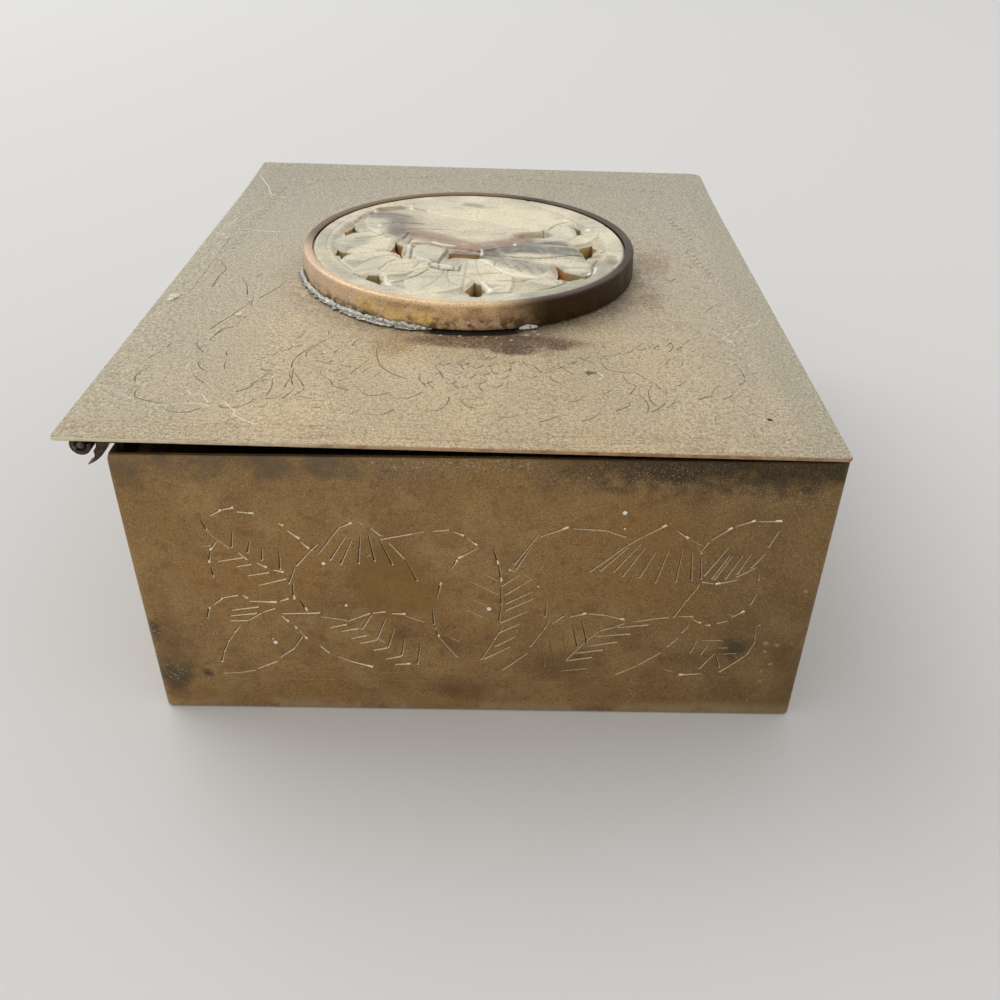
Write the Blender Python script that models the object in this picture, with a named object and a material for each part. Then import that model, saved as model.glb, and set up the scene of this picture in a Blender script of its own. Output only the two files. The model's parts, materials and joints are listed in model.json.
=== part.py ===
"""Trinket box of sheet brass, lined with wood, with a carved stone medallion set in its hinged lid.

Units are metres and +Z is up. The origin is on the surface that the box stands on, under the
middle of the lid. +X points to the edge that opens, -X to the hinge, -Y to the near short end.
The lid's pieces are built flat in the lid's own frame, whose origin lies on the hinge pin, and an
empty on the pin holds them at the slight slope at which the closed lid rests.
"""

import math

import bmesh
import bpy
from mathutils import Matrix, Vector

MM = 0.001

# Case
CASE_WIDTH = 95.3 * MM          # outside, hinge side to opening side
CASE_LENGTH = 125.0 * MM        # outside, near end to far end
CASE_HEIGHT = 45.4 * MM         # table to rim
SHEET = 0.8 * MM                # brass of the walls and the base
INSIDE_CORNER = 0.4 * MM        # inside radius of the upright corners
EDGE_BREAK = 0.1 * MM           # small bevel on sheet edges
SEAT_GAP = 0.3 * MM             # between pieces that touch

# Wooden lining
LINING = 2.0 * MM               # thickness of the floor and side boards
LINING_DROP = 3.0 * MM          # top of the side boards below the rim
BOARD_BREAK = 0.3 * MM          # eased edge of a board

# Lid
LID_SHEET = 0.6 * MM
HINGE_OVERHANG = 6.5 * MM       # lid beyond the wall on the hinge side
OPEN_OVERHANG = 0.25 * MM       # lid beyond the wall on the opening side
END_OVERHANG = 0.3 * MM         # lid beyond the wall at each short end
LID_CORNER_RADIUS = 0.6 * MM
LID_BOARD = 2.2 * MM            # wooden panel under the lid
LID_BOARD_MARGIN = 1.2 * MM     # panel inside the side boards, each side

# Hinge
PIN_OUTBOARD = 3.6 * MM         # pin axis from the wall's outer face
PIN_RISE = 0.4 * MM             # pin axis above the rim
PIN_DIAMETER = 1.1 * MM
PIN_PLAY = 0.3 * MM             # pin to knuckle, all round
LEAF_SHEET = 0.55 * MM
HINGE_INSET = 1.5 * MM          # hinge's end from each end of the case
BOX_LEAF_INSET = 0.9 * MM       # box leaf's end from the hinge's end
KNUCKLES = 5                    # the first, the third and the last are the lid's
KNUCKLE_PLAY = 0.4 * MM         # between neighbouring knuckles
ROLL_ANGLE = math.radians(285.0)
NOTCH_PLAY = 0.6 * MM           # sheet cut back round the other leaf's knuckles
LID_LEAF_REACH = 6.0 * MM       # lid leaf inside the wall's outer face
TAB_WIDTH = 1.6 * MM            # torn tab, along the hinge
TAB_WRAP = math.radians(50.0)   # how far the tab follows the knuckle, below the pin's level
TAB_OUT = 3.8 * MM              # tab's tip from the wall's outer face
TAB_DROP = 3.5 * MM             # tab's tip below the pin's level
TAB_TURN_OUT = 1.3 * MM         # where the tab's lower edge turns, from the wall's outer face
TAB_TURN_DROP = 2.6 * MM        # and below the pin's level
TAB_TURN_WIDTH = 0.9 * MM       # across the tab at that turn

# Medallion
BEZEL_DIAMETER = 59.0 * MM
BEZEL_HEIGHT = 4.5 * MM
BEZEL_WALL = 0.9 * MM
BEZEL_DRAFT = 0.15 * MM         # band leans in this much at its top
BEZEL_ROUND = 0.4 * MM
BEZEL_LIP = 0.6 * MM            # lip rubbed over the stone, past the band's inner face
LIP_SHEET = 0.35 * MM           # thickness of the lip at its edge
MEDALLION_BACK = 0.3 * MM       # centre is off the lid's middle, towards the hinge
MEDALLION_FAR = 1.8 * MM        # and towards the far end
STONE_RECESS = 0.3 * MM         # stone's rim below the bezel's
STONE_RIM = 3.2 * MM            # plain band round the carving
FIELD_DEPTH = 0.8 * MM          # background of the carving below the stone's rim
FIELD_SLOPE = 0.5 * MM
FRUIT_RISE = 0.75 * MM          # crown of the carved peach above the background
LEAF_RISE = 0.65 * MM
RELIEF_SINK = 0.3 * MM          # carved forms reach this far into the background
DRAWN_FIELD = 25.0              # radius at which the carving's outlines below are drawn
CURVE_PARTS = 3                 # stretches to each span of the peach's outline
LEAF_STEPS = 8

# Sections of the carved forms, as shares: the peach's rings as (size, rise), and a leaf from side
# to side as (place, rise), with its dip along the midrib
PEACH_RINGS = ((1.0, 0.25), (0.95, 0.7), (0.8, 0.9), (0.45, 1.0))
LEAF_SECTION = ((-1.0, 0.35), (-0.6, 0.95), (-0.12, 1.0), (0.0, 0.72), (0.12, 1.0), (0.6, 0.95), (1.0, 0.35))

# Solder round the bezel's foot
SOLDER_LEG = 1.5 * MM           # out over the lid
SOLDER_RISE = 1.2 * MM          # up the band
SOLDER_HOLLOW = 0.5 * MM        # middle of the fillet's face, out and up from its corner
SOLDER_TAPER = 0.3              # share of the section that is left at both ends
SOLDER_STEP = math.radians(6.0)
SOLDER_ARCS = {"bezel_solder_side": (184.0, 256.0), "bezel_solder_front": (287.0, 296.0)}

ARC_STEP = math.radians(15.0)
CORNER_STEP = math.radians(30.0)

# Derived
CORNER_RADIUS = INSIDE_CORNER + SHEET
KNUCKLE_RADIUS = PIN_DIAMETER / 2 + PIN_PLAY + LEAF_SHEET
BORE_RADIUS = PIN_DIAMETER / 2 + PIN_PLAY
HINGE_LENGTH = CASE_LENGTH - 2 * HINGE_INSET
KNUCKLE_PITCH = HINGE_LENGTH / KNUCKLES
LID_UNDERSIDE = KNUCKLE_RADIUS + SEAT_GAP
PIN_TO_FAR_RIM = math.hypot(PIN_OUTBOARD + CASE_WIDTH, PIN_RISE)
LID_SLOPE = math.asin(KNUCKLE_RADIUS / PIN_TO_FAR_RIM) + math.asin(PIN_RISE / PIN_TO_FAR_RIM)
AXIS_Z = CASE_HEIGHT + PIN_RISE
LID_LEFT = PIN_OUTBOARD - HINGE_OVERHANG
LID_RIGHT = PIN_OUTBOARD + CASE_WIDTH + OPEN_OVERHANG
LID_MIDDLE = (LID_LEFT + LID_RIGHT) / 2
LID_TOP = LID_UNDERSIDE + LID_SHEET
LID_LENGTH = CASE_LENGTH + 2 * END_OVERHANG
AXIS_X = -(LID_MIDDLE * math.cos(LID_SLOPE) + (LID_UNDERSIDE + LID_SHEET / 2) * math.sin(LID_SLOPE))
WALL_LEFT = AXIS_X + PIN_OUTBOARD
CASE_MIDDLE = WALL_LEFT + CASE_WIDTH / 2
STONE_RADIUS = BEZEL_DIAMETER / 2 - BEZEL_DRAFT - BEZEL_WALL - SEAT_GAP
FIELD_RADIUS = STONE_RADIUS - STONE_RIM
STONE_TOP = LID_TOP + BEZEL_HEIGHT - STONE_RECESS
STRIP_LOW = SEAT_GAP - PIN_RISE                     # box leaf over the rim, from the pin's level
STRIP_HIGH = STRIP_LOW + LEAF_SHEET
LIP_RADIUS = BEZEL_DIAMETER / 2 - BEZEL_DRAFT - BEZEL_WALL - BEZEL_LIP
STONE_BREAK = STONE_RADIUS - LIP_RADIUS + SEAT_GAP * math.sqrt(2) + LIP_SHEET - STONE_RECESS
FIELD_TOP = STONE_TOP - FIELD_DEPTH
MEDALLION_X = LID_MIDDLE - MEDALLION_BACK


# Materials

def make_material(name, colour, roughness, metallic):
    material = bpy.data.materials.new(name)
    material.use_nodes = True
    shader = material.node_tree.nodes["Principled BSDF"]
    shader.inputs["Base Color"].default_value = (*colour, 1.0)
    shader.inputs["Roughness"].default_value = roughness
    shader.inputs["Metallic"].default_value = metallic
    material.diffuse_color = (*colour, 1.0)
    return material


# Meshes and objects

def finish_object(name, bm, material, parent=None, place=(0.0, 0.0, 0.0), smooth_angle=35.0):
    """Turn a bmesh into a named object with one material, shaded smooth below the given angle."""
    bmesh.ops.recalc_face_normals(bm, faces=bm.faces)
    mesh = bpy.data.meshes.new(name)
    bm.to_mesh(mesh)
    bm.free()
    mesh.shade_smooth()
    mesh.set_sharp_from_angle(angle=math.radians(smooth_angle))
    obj = bpy.data.objects.new(name, mesh)
    bpy.context.scene.collection.objects.link(obj)
    obj.data.materials.append(material)
    obj.location = place
    obj.parent = parent
    return obj


def make_empty(name, place, slope):
    empty = bpy.data.objects.new(name, None)
    empty.empty_display_size = 10 * MM
    empty.location = place
    empty.rotation_euler = (0.0, slope, 0.0)
    bpy.context.scene.collection.objects.link(empty)
    return empty


def as_cutter(obj):
    obj.hide_render = True
    obj.display_type = "WIRE"
    return obj


def add_boolean(obj, tool, operation):
    boolean = obj.modifiers.new(operation.title() + " " + tool.name, "BOOLEAN")
    boolean.object = tool
    boolean.operation = operation
    boolean.solver = "EXACT"


def add_edge_bevel(obj, width):
    bevel = obj.modifiers.new("Edge break", "BEVEL")
    bevel.width = width
    bevel.segments = 1
    bevel.limit_method = "ANGLE"
    bevel.angle_limit = math.radians(50.0)


def arc(centre, radius, start, end, step=ARC_STEP):
    """Points along a flat arc, both ends included."""
    count = max(1, math.ceil(abs(end - start) / step))
    turns = [start + (end - start) * i / count for i in range(count + 1)]
    return [Vector((centre[0] + radius * math.cos(t), centre[1] + radius * math.sin(t))) for t in turns]


def rounded_rectangle(width, length, radius):
    """Outline in the XY plane, anticlockwise, centred on the origin."""
    points = []
    corners = ((1, 1, 0), (-1, 1, 90), (-1, -1, 180), (1, -1, 270))
    for side_x, side_y, turn in corners:
        centre = (side_x * (width / 2 - radius), side_y * (length / 2 - radius))
        start = math.radians(turn)
        points += arc(centre, radius, start, start + math.pi / 2, CORNER_STEP)
    return points


def add_prism(bm, outline, low, high, place=lambda p, h: (p[0], p[1], h)):
    """Add a closed prism: the outline swept from low to high, each point put down by place."""
    lower = [bm.verts.new(place(p, low)) for p in outline]
    upper = [bm.verts.new(place(p, high)) for p in outline]
    bm.faces.new(list(reversed(lower)))
    bm.faces.new(upper)
    for i in range(len(outline)):
        j = (i + 1) % len(outline)
        bm.faces.new((lower[i], lower[j], upper[j], upper[i]))


def slab(name, outline, low, high, material, parent=None, place=(0.0, 0.0, 0.0), bevel=0.0):
    bm = bmesh.new()
    add_prism(bm, outline, low, high)
    obj = finish_object(name, bm, material, parent, place)
    if bevel:
        add_edge_bevel(obj, bevel)
    return obj


def extrusion_along_y(name, profile, spans, material, parent=None, place=(0.0, 0.0, 0.0)):
    """One object with the XZ profile swept along Y over each span."""
    bm = bmesh.new()
    for near, far in spans:
        add_prism(bm, profile, near, far, lambda p, y: (p[0], y, p[1]))
    return finish_object(name, bm, material, parent, place)


def turned(name, profile, steps, material, parent, place):
    """Closed ring or disc: a profile of (radius, height) points spun about Z."""
    bm = bmesh.new()
    verts = [bm.verts.new((r, 0.0, z)) for r, z in profile]
    edges = [bm.edges.new((verts[i], verts[i + 1])) for i in range(len(verts) - 1)]
    if profile[0][0] > 0.0:
        edges.append(bm.edges.new((verts[-1], verts[0])))
    bmesh.ops.spin(
        bm, geom=verts + edges, cent=(0, 0, 0), axis=(0, 0, 1), angle=2 * math.pi, steps=steps,
        use_merge=True,
    )
    bmesh.ops.remove_doubles(bm, verts=bm.verts, dist=0.001 * MM)
    return finish_object(name, bm, material, parent, place)


# Case

def build_case(brass, wood):
    outer = rounded_rectangle(CASE_WIDTH, CASE_LENGTH, CORNER_RADIUS)
    inner_width = CASE_WIDTH - 2 * SHEET
    inner_length = CASE_LENGTH - 2 * SHEET
    inner = rounded_rectangle(inner_width, inner_length, INSIDE_CORNER)
    bm = bmesh.new()
    rings = []
    for outline, height in ((outer, 0.0), (outer, CASE_HEIGHT), (inner, CASE_HEIGHT), (inner, 0.0)):
        verts = [bm.verts.new((p[0], p[1], height)) for p in outline]
        rings.append([bm.edges.new((verts[i - 1], verts[i])) for i in range(len(verts))])
    for i in range(4):
        bmesh.ops.bridge_loops(bm, edges=rings[i] + rings[(i + 1) % 4])
    band = finish_object("wall_band", bm, brass, place=(CASE_MIDDLE, 0.0, 0.0))
    add_edge_bevel(band, EDGE_BREAK)

    base = rounded_rectangle(
        inner_width - 2 * SEAT_GAP, inner_length - 2 * SEAT_GAP, INSIDE_CORNER)
    slab("base_plate", base, 0.0, SHEET, brass, place=(CASE_MIDDLE, 0.0, 0.0), bevel=EDGE_BREAK)
    build_lining(inner_width, inner_length, wood)


def build_lining(inner_width, inner_length, wood):
    floor_low = SHEET + SEAT_GAP
    side_top = CASE_HEIGHT - LINING_DROP
    side_x = inner_width / 2 - SEAT_GAP - LINING / 2
    end_y = inner_length / 2 - SEAT_GAP - LINING / 2
    room_width = inner_width - 4 * SEAT_GAP - 2 * LINING
    room_length = inner_length - 4 * SEAT_GAP - 2 * LINING
    boards = (
        ("lining_hinge_side", LINING, inner_length - 2 * SEAT_GAP, -side_x, 0.0, side_top),
        ("lining_opening_side", LINING, inner_length - 2 * SEAT_GAP, side_x, 0.0, side_top),
        ("lining_near_end", room_width, LINING, 0.0, -end_y, side_top),
        ("lining_far_end", room_width, LINING, 0.0, end_y, side_top),
        ("lining_floor", room_width, room_length, 0.0, 0.0, floor_low + LINING),
    )
    for name, width, length, x, y, top in boards:
        outline = rounded_rectangle(width, length, BOARD_BREAK)
        slab(name, outline, floor_low, top, wood, place=(CASE_MIDDLE + x, y, 0.0))


# Hinge

def knuckle_spans(own_side):
    """Stretches of the hinge, along Y, that belong to the lid (0) or to the box (1)."""
    spans = []
    for i in range(KNUCKLES):
        if i % 2 == own_side:
            near = -HINGE_LENGTH / 2 + i * KNUCKLE_PITCH
            spans.append((near, near + KNUCKLE_PITCH))
    return spans


def roll(start, turn, bore_end):
    """The rolled part of a leaf: outer arc from start, round by turn, and back along the bore."""
    outer = arc((0.0, 0.0), KNUCKLE_RADIUS, start, start + turn)
    bore = arc((0.0, 0.0), BORE_RADIUS, start + turn, bore_end)
    return outer + bore


def notch(name, spans, material, parent, place):
    """Cutter that clears one leaf from round the other leaf's knuckles."""
    reach = KNUCKLE_RADIUS + NOTCH_PLAY
    block = [(-reach, -reach), (reach, -reach), (reach, reach), (-reach, reach)]
    cuts = []
    for near, far in spans:
        at_near_end = near < -HINGE_LENGTH / 2 + KNUCKLE_PLAY
        at_far_end = far > HINGE_LENGTH / 2 - KNUCKLE_PLAY
        low = near - (NOTCH_PLAY if at_near_end else KNUCKLE_PLAY / 2)
        high = far + (NOTCH_PLAY if at_far_end else KNUCKLE_PLAY / 2)
        cuts.append((low, high))
    return as_cutter(extrusion_along_y(name, block, cuts, material, parent, place))


def build_hinge(brass, steel, lid_axis):
    ends = (-HINGE_LENGTH / 2, HINGE_LENGTH / 2)
    axis_place = (AXIS_X, 0.0, AXIS_Z)

    strip_end = PIN_OUTBOARD + LID_LEAF_REACH
    lid_profile = roll(math.pi / 2, ROLL_ANGLE, math.pi / 2)
    lid_profile += [Vector((strip_end, BORE_RADIUS)), Vector((strip_end, KNUCKLE_RADIUS))]
    lid_leaf = extrusion_along_y("lid_hinge_leaf", lid_profile, (ends,), brass, lid_axis)
    box_knuckle_room = notch("box_knuckle_room", knuckle_spans(1), brass, lid_axis, (0.0, 0.0, 0.0))
    add_boolean(lid_leaf, box_knuckle_room, "DIFFERENCE")

    rim_corner = Vector((PIN_OUTBOARD + SHEET, -PIN_RISE))
    flange = (rim_corner.x + SEAT_GAP, rim_corner.x + SEAT_GAP + LEAF_SHEET)
    flange_foot = rim_corner.y - LINING_DROP + SEAT_GAP
    strip_meets_roll = math.asin(STRIP_LOW / KNUCKLE_RADIUS)
    strip_meets_bore = math.asin(STRIP_HIGH / BORE_RADIUS)
    box_profile = roll(strip_meets_roll, -ROLL_ANGLE, strip_meets_bore)
    box_profile += arc(rim_corner, SEAT_GAP + LEAF_SHEET, math.pi / 2, 0.0)
    box_profile.append(Vector((flange[1], flange_foot)))
    box_profile.append(Vector((flange[0], flange_foot)))
    box_profile += arc(rim_corner, SEAT_GAP, 0.0, math.pi / 2)
    box_ends = (ends[0] + BOX_LEAF_INSET, ends[1] - BOX_LEAF_INSET)
    box_leaf = extrusion_along_y("box_hinge_leaf", box_profile, (box_ends,), brass, place=axis_place)
    lid_knuckle_room = notch("lid_knuckle_room", knuckle_spans(0), brass, None, axis_place)
    add_boolean(box_leaf, lid_knuckle_room, "DIFFERENCE")
    add_boolean(box_leaf, bent_tab(brass, axis_place), "UNION")

    bm = bmesh.new()
    bmesh.ops.create_cone(
        bm, cap_ends=True, segments=20, radius1=PIN_DIAMETER / 2, radius2=PIN_DIAMETER / 2,
        depth=HINGE_LENGTH, matrix=Matrix.Rotation(math.pi / 2, 4, "X"),
    )
    pin = finish_object("hinge_pin", bm, steel, place=axis_place)
    add_edge_bevel(pin, EDGE_BREAK)


def bent_tab(brass, axis_place):
    """The box leaf's near end: a torn tab that leaves the strip outside the wall and hooks down."""
    clear = KNUCKLE_RADIUS + SEAT_GAP
    root = Vector((PIN_OUTBOARD - SEAT_GAP, STRIP_LOW))
    tip = Vector((PIN_OUTBOARD - TAB_OUT, -TAB_DROP))
    lower_turn = Vector((PIN_OUTBOARD - TAB_TURN_OUT, -TAB_TURN_DROP))
    upper_turn = lower_turn - Vector((TAB_TURN_WIDTH, 0.0))
    profile = arc((0.0, 0.0), clear, math.asin(STRIP_HIGH / clear), -TAB_WRAP)
    profile += curve(profile[-1], upper_turn, tip)
    profile += curve(tip, lower_turn, root)
    profile.append(Vector((root.x, STRIP_HIGH)))
    near = -HINGE_LENGTH / 2 + BOX_LEAF_INSET
    tab = extrusion_along_y("leaf_tab", profile, ((near, near + TAB_WIDTH),), brass, place=axis_place)
    return as_cutter(tab)


def curve(a, b, c, parts=6):
    """Points after a on the curve from a to c that is drawn towards b."""
    shares = [i / parts for i in range(1, parts + 1)]
    return [a * (1 - t) ** 2 + b * (2 * t * (1 - t)) + c * t ** 2 for t in shares]


# Lid

def build_lid(brass, wood, lid_axis):
    outline = rounded_rectangle(LID_RIGHT - LID_LEFT, LID_LENGTH, LID_CORNER_RADIUS)
    slab("lid_plate", outline, LID_UNDERSIDE, LID_TOP, brass, lid_axis, (LID_MIDDLE, 0.0, 0.0), EDGE_BREAK)

    boards_inside = SHEET + SEAT_GAP + LINING + LID_BOARD_MARGIN
    board_left = PIN_OUTBOARD + LID_LEAF_REACH + SEAT_GAP
    board_right = PIN_OUTBOARD + CASE_WIDTH - boards_inside
    board_length = CASE_LENGTH - 2 * boards_inside
    board = rounded_rectangle(board_right - board_left, board_length, LID_CORNER_RADIUS)
    board_top = LID_UNDERSIDE - SEAT_GAP
    board_place = ((board_left + board_right) / 2, 0.0, 0.0)
    slab("lid_lining", board, board_top - LID_BOARD, board_top, wood, lid_axis, board_place, BOARD_BREAK)


# Medallion

def build_bezel(brass, solder, lid_axis):
    foot = LID_TOP + SEAT_GAP
    top = LID_TOP + BEZEL_HEIGHT
    outer = BEZEL_DIAMETER / 2
    outer_top = outer - BEZEL_DRAFT
    inner = outer_top - BEZEL_WALL
    shoulder = (outer_top - BEZEL_ROUND, top - BEZEL_ROUND)
    profile = [(outer, foot)]
    profile += arc(shoulder, BEZEL_ROUND, 0.0, math.pi / 2, CORNER_STEP)
    profile += [(LIP_RADIUS, top), (LIP_RADIUS, top - LIP_SHEET)]
    profile += [(inner, top - LIP_SHEET - BEZEL_LIP), (inner, foot)]
    place = (MEDALLION_X, MEDALLION_FAR, 0.0)
    turned("bezel_ring", profile, 72, brass, lid_axis, place)

    wet = outer + SEAT_GAP
    fillet = [
        Vector((wet, foot)),
        Vector((wet + SOLDER_LEG, foot)),
        Vector((wet + SOLDER_HOLLOW, foot + SOLDER_HOLLOW)),
        Vector((wet, foot + SOLDER_RISE)),
    ]
    for name, (start, end) in SOLDER_ARCS.items():
        bm = swept_arc(fillet, math.radians(start), math.radians(end))
        finish_object(name, bm, solder, lid_axis, place)


def swept_arc(profile, start, end):
    """A profile of (radius, height) points swept about Z, tapered away at both ends."""
    bm = bmesh.new()
    count = math.ceil((end - start) / SOLDER_STEP)
    rings = []
    for i in range(count + 1):
        share = i / count
        swell = SOLDER_TAPER + (1 - SOLDER_TAPER) * math.sqrt(math.sin(math.pi * share))
        turn = start + (end - start) * share
        ring = []
        for p in profile:
            radius = profile[0].x + (p.x - profile[0].x) * swell
            height = profile[0].y + (p.y - profile[0].y) * swell
            ring.append(bm.verts.new((radius * math.cos(turn), radius * math.sin(turn), height)))
        rings.append(ring)
    for a, b in zip(rings, rings[1:]):
        for i in range(len(profile)):
            j = (i + 1) % len(profile)
            bm.faces.new((a[i], a[j], b[j], b[i]))
    bm.faces.new(rings[0])
    bm.faces.new(list(reversed(rings[-1])))
    return bm


# The carving's outlines, in millimetres from the medallion's centre, +x right and +y away. The
# peach hangs from the far rim, and a spray of leaves lies under it. Piercings go right through.

PEACH = (
    (-20.5, 12.0), (-18.0, 4.5), (-10.0, -0.5), (-3.5, -3.6), (1.5, -4.2), (7.0, -1.6), (14.0, 1.0),
    (19.0, 4.5), (20.0, 12.5), (13.5, 20.5), (3.5, 25.0), (-7.5, 24.5), (-16.5, 19.0),
)

# Each leaf: stalk end, tip, greatest half width, sideways bow
LEAVES = (
    ((-13.0, 3.5), (-24.5, -1.0), 4.8, 1.2),
    ((-8.5, -4.0), (-23.0, -9.5), 5.0, -1.0),
    ((-6.0, -9.5), (-19.5, -16.5), 4.8, -0.8),
    ((-3.5, -12.5), (-8.5, -24.5), 5.4, 1.0),
    ((1.5, -8.0), (6.5, -24.5), 5.6, -1.5),
    ((5.0, -9.0), (16.0, -19.5), 4.6, 1.4),
    ((6.0, -7.0), (23.0, -11.0), 5.0, -1.6),
    ((4.5, -3.5), (21.5, -2.5), 4.2, -0.6),
    ((17.0, 0.5), (24.0, 10.0), 3.4, 0.6),
)

STALKS = (
    ((-9.8, -2.2), (-4.2, -9.0), 1.5),
    ((-6.2, -11.0), (0.0, -13.0), 1.1),
    ((2.0, -8.0), (9.5, -15.0), 0.5),
)

PIERCINGS = (
    ((-22.0, 8.5), (-23.3, 3.5), (-22.8, 2.0), (-20.3, 5.0)),
    ((-23.5, -4.5), (-23.2, -7.0), (-21.7, -10.3), (-20.5, -7.5)),
    ((-13.5, -1.0), (-13.8, -6.0), (-11.3, -8.7), (-11.5, -4.5)),
    ((-16.5, -17.5), (-13.6, -21.5), (-13.0, -19.6), (-14.3, -16.5)),
    ((-0.3, -22.0), (1.2, -25.0), (2.5, -25.3), (3.5, -22.0), (2.0, -19.5)),
    ((15.0, -10.5), (15.3, -16.8), (18.5, -16.8), (20.3, -15.5), (16.3, -13.0)),
    ((18.3, -1.5), (20.3, -6.8), (21.6, -4.9), (23.0, -1.0), (21.8, 1.5)),
    ((18.7, 10.0), (19.6, 5.3), (20.9, 6.0), (20.3, 8.5)),
    ((8.5, 3.2), (9.5, 2.2), (13.8, 2.3), (13.8, 5.8), (10.0, 5.3)),
    ((-3.8, -4.6), (-3.4, -7.8), (-2.3, -6.6), (2.3, -7.4), (2.2, -4.9)),
)


def drawn(point):
    """A point of the drawing, in metres from the medallion's centre, fitted to the carved field."""
    scale = FIELD_RADIUS / DRAWN_FIELD
    return Vector((point[0] * scale, point[1] * scale))


def smooth_loop(points, parts):
    """Closed curve through the points, each stretch cut into the given number of parts."""
    loop = []
    count = len(points)
    for i in range(count):
        before, a, b, after = (points[(i + k - 1) % count] for k in range(4))
        for j in range(parts):
            t = j / parts
            bend = (b - before) * t + (before * 2 - a * 5 + b * 4 - after) * t ** 2
            loop.append(a + (bend + (a * 3 - before - b * 3 + after) * t ** 3) * 0.5)
    return loop


def carved_peach(stone, parent, place):
    """A low crowned form: rings of the outline, drawn in as they rise."""
    outline = smooth_loop([drawn(p) for p in PEACH], CURVE_PARTS)
    centre = sum(outline, Vector((0.0, 0.0))) / len(outline)
    rings = [(1.0, -RELIEF_SINK)] + [(share, FRUIT_RISE * rise) for share, rise in PEACH_RINGS]
    bm = bmesh.new()
    loops = []
    for share, rise in rings:
        flat = [centre + (p - centre) * share for p in outline]
        loops.append([bm.verts.new((p.x, p.y, FIELD_TOP + rise)) for p in flat])
    bm.faces.new(loops[0])
    bm.faces.new(loops[-1])
    for a, b in zip(loops, loops[1:]):
        for i in range(len(a)):
            bm.faces.new((a[i - 1], a[i], b[i], b[i - 1]))
    return as_cutter(finish_object("relief_peach", bm, stone, parent, place))


def carved_leaf(name, stalk, tip, half_width, bow, stone, parent, place):
    """A leaf with rounded sides that dip to a groove along its midrib."""
    a = drawn(stalk)
    b = drawn(tip)
    along = b - a
    side = Vector((-along.y, along.x)).normalized()
    scale = FIELD_RADIUS / DRAWN_FIELD
    bm = bmesh.new()
    rows = []
    for i in range(LEAF_STEPS + 1):
        t = i / LEAF_STEPS
        spread = half_width * scale * max(0.06, math.sin(math.pi * t ** 0.8) ** 0.75)
        middle = a + along * t + side * (bow * scale * math.sin(math.pi * t))
        low = [middle + side * (-spread), middle + side * spread]
        top = [(middle + side * (spread * s), LEAF_RISE * h) for s, h in LEAF_SECTION]
        ring = [bm.verts.new((p.x, p.y, FIELD_TOP + h)) for p, h in top]
        ring += [bm.verts.new((p.x, p.y, FIELD_TOP - RELIEF_SINK)) for p in reversed(low)]
        rows.append(ring)
    for one, two in zip(rows, rows[1:]):
        for i in range(len(one)):
            bm.faces.new((one[i - 1], one[i], two[i], two[i - 1]))
    bm.faces.new(rows[0])
    bm.faces.new(list(reversed(rows[-1])))
    return as_cutter(finish_object(name, bm, stone, parent, place))


def carved_stalk(name, start, end, half_width, stone, parent, place):
    a = drawn(start)
    b = drawn(end)
    side = Vector((-(b - a).y, (b - a).x)).normalized() * (half_width * FIELD_RADIUS / DRAWN_FIELD)
    outline = [a - side, b - side, b + side, a + side]
    bm = bmesh.new()
    add_prism(bm, outline, FIELD_TOP - RELIEF_SINK, FIELD_TOP + LEAF_RISE)
    return as_cutter(finish_object(name, bm, stone, parent, place))


def build_stone(stone, lid_axis):
    foot = LID_TOP + SEAT_GAP
    profile = [
        (0.0, FIELD_TOP),
        (FIELD_RADIUS - FIELD_SLOPE, FIELD_TOP),
        (FIELD_RADIUS, STONE_TOP),
        (STONE_RADIUS - STONE_BREAK, STONE_TOP),
        (STONE_RADIUS, STONE_TOP - STONE_BREAK),
        (STONE_RADIUS, foot),
        (0.0, foot),
    ]
    place = (MEDALLION_X, MEDALLION_FAR, 0.0)
    disc = turned("carved_disc", profile, 72, stone, lid_axis, place)
    add_boolean(disc, carved_peach(stone, lid_axis, place), "UNION")
    for i, (stalk, tip, half_width, bow) in enumerate(LEAVES, start=1):
        leaf = carved_leaf(f"relief_leaf_{i}", stalk, tip, half_width, bow, stone, lid_axis, place)
        add_boolean(disc, leaf, "UNION")
    for i, (start, end, half_width) in enumerate(STALKS, start=1):
        twig = carved_stalk(f"relief_stalk_{i}", start, end, half_width, stone, lid_axis, place)
        add_boolean(disc, twig, "UNION")
    bm = bmesh.new()
    for points in PIERCINGS:
        add_prism(bm, [drawn(p) for p in points], foot - SHEET, STONE_TOP + SHEET)
    piercings = as_cutter(finish_object("piercings", bm, stone, lid_axis, place))
    add_boolean(disc, piercings, "DIFFERENCE")


def clear_scene():
    for obj in list(bpy.data.objects):
        bpy.data.objects.remove(obj, do_unlink=True)


def main():
    clear_scene()
    brass = make_material("aged_brass", (0.40, 0.30, 0.17), 0.45, 0.9)
    bezel_brass = make_material("copper_brown_brass", (0.36, 0.21, 0.10), 0.4, 0.9)
    dark_brass = make_material("hinge_brass", (0.16, 0.09, 0.05), 0.55, 0.8)
    steel = make_material("pin_wire", (0.25, 0.20, 0.15), 0.5, 0.9)
    solder = make_material("solder", (0.42, 0.41, 0.37), 0.6, 0.7)
    stone = make_material("carved_stone", (0.62, 0.58, 0.42), 0.4, 0.0)
    wood = make_material("lining_wood", (0.30, 0.16, 0.08), 0.6, 0.0)

    lid_axis = make_empty("lid_axis", (AXIS_X, 0.0, AXIS_Z), LID_SLOPE)
    build_case(brass, wood)
    build_hinge(dark_brass, steel, lid_axis)
    build_lid(brass, wood, lid_axis)
    build_bezel(bezel_brass, solder, lid_axis)
    build_stone(stone, lid_axis)
    bpy.context.view_layer.update()


main()
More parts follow.
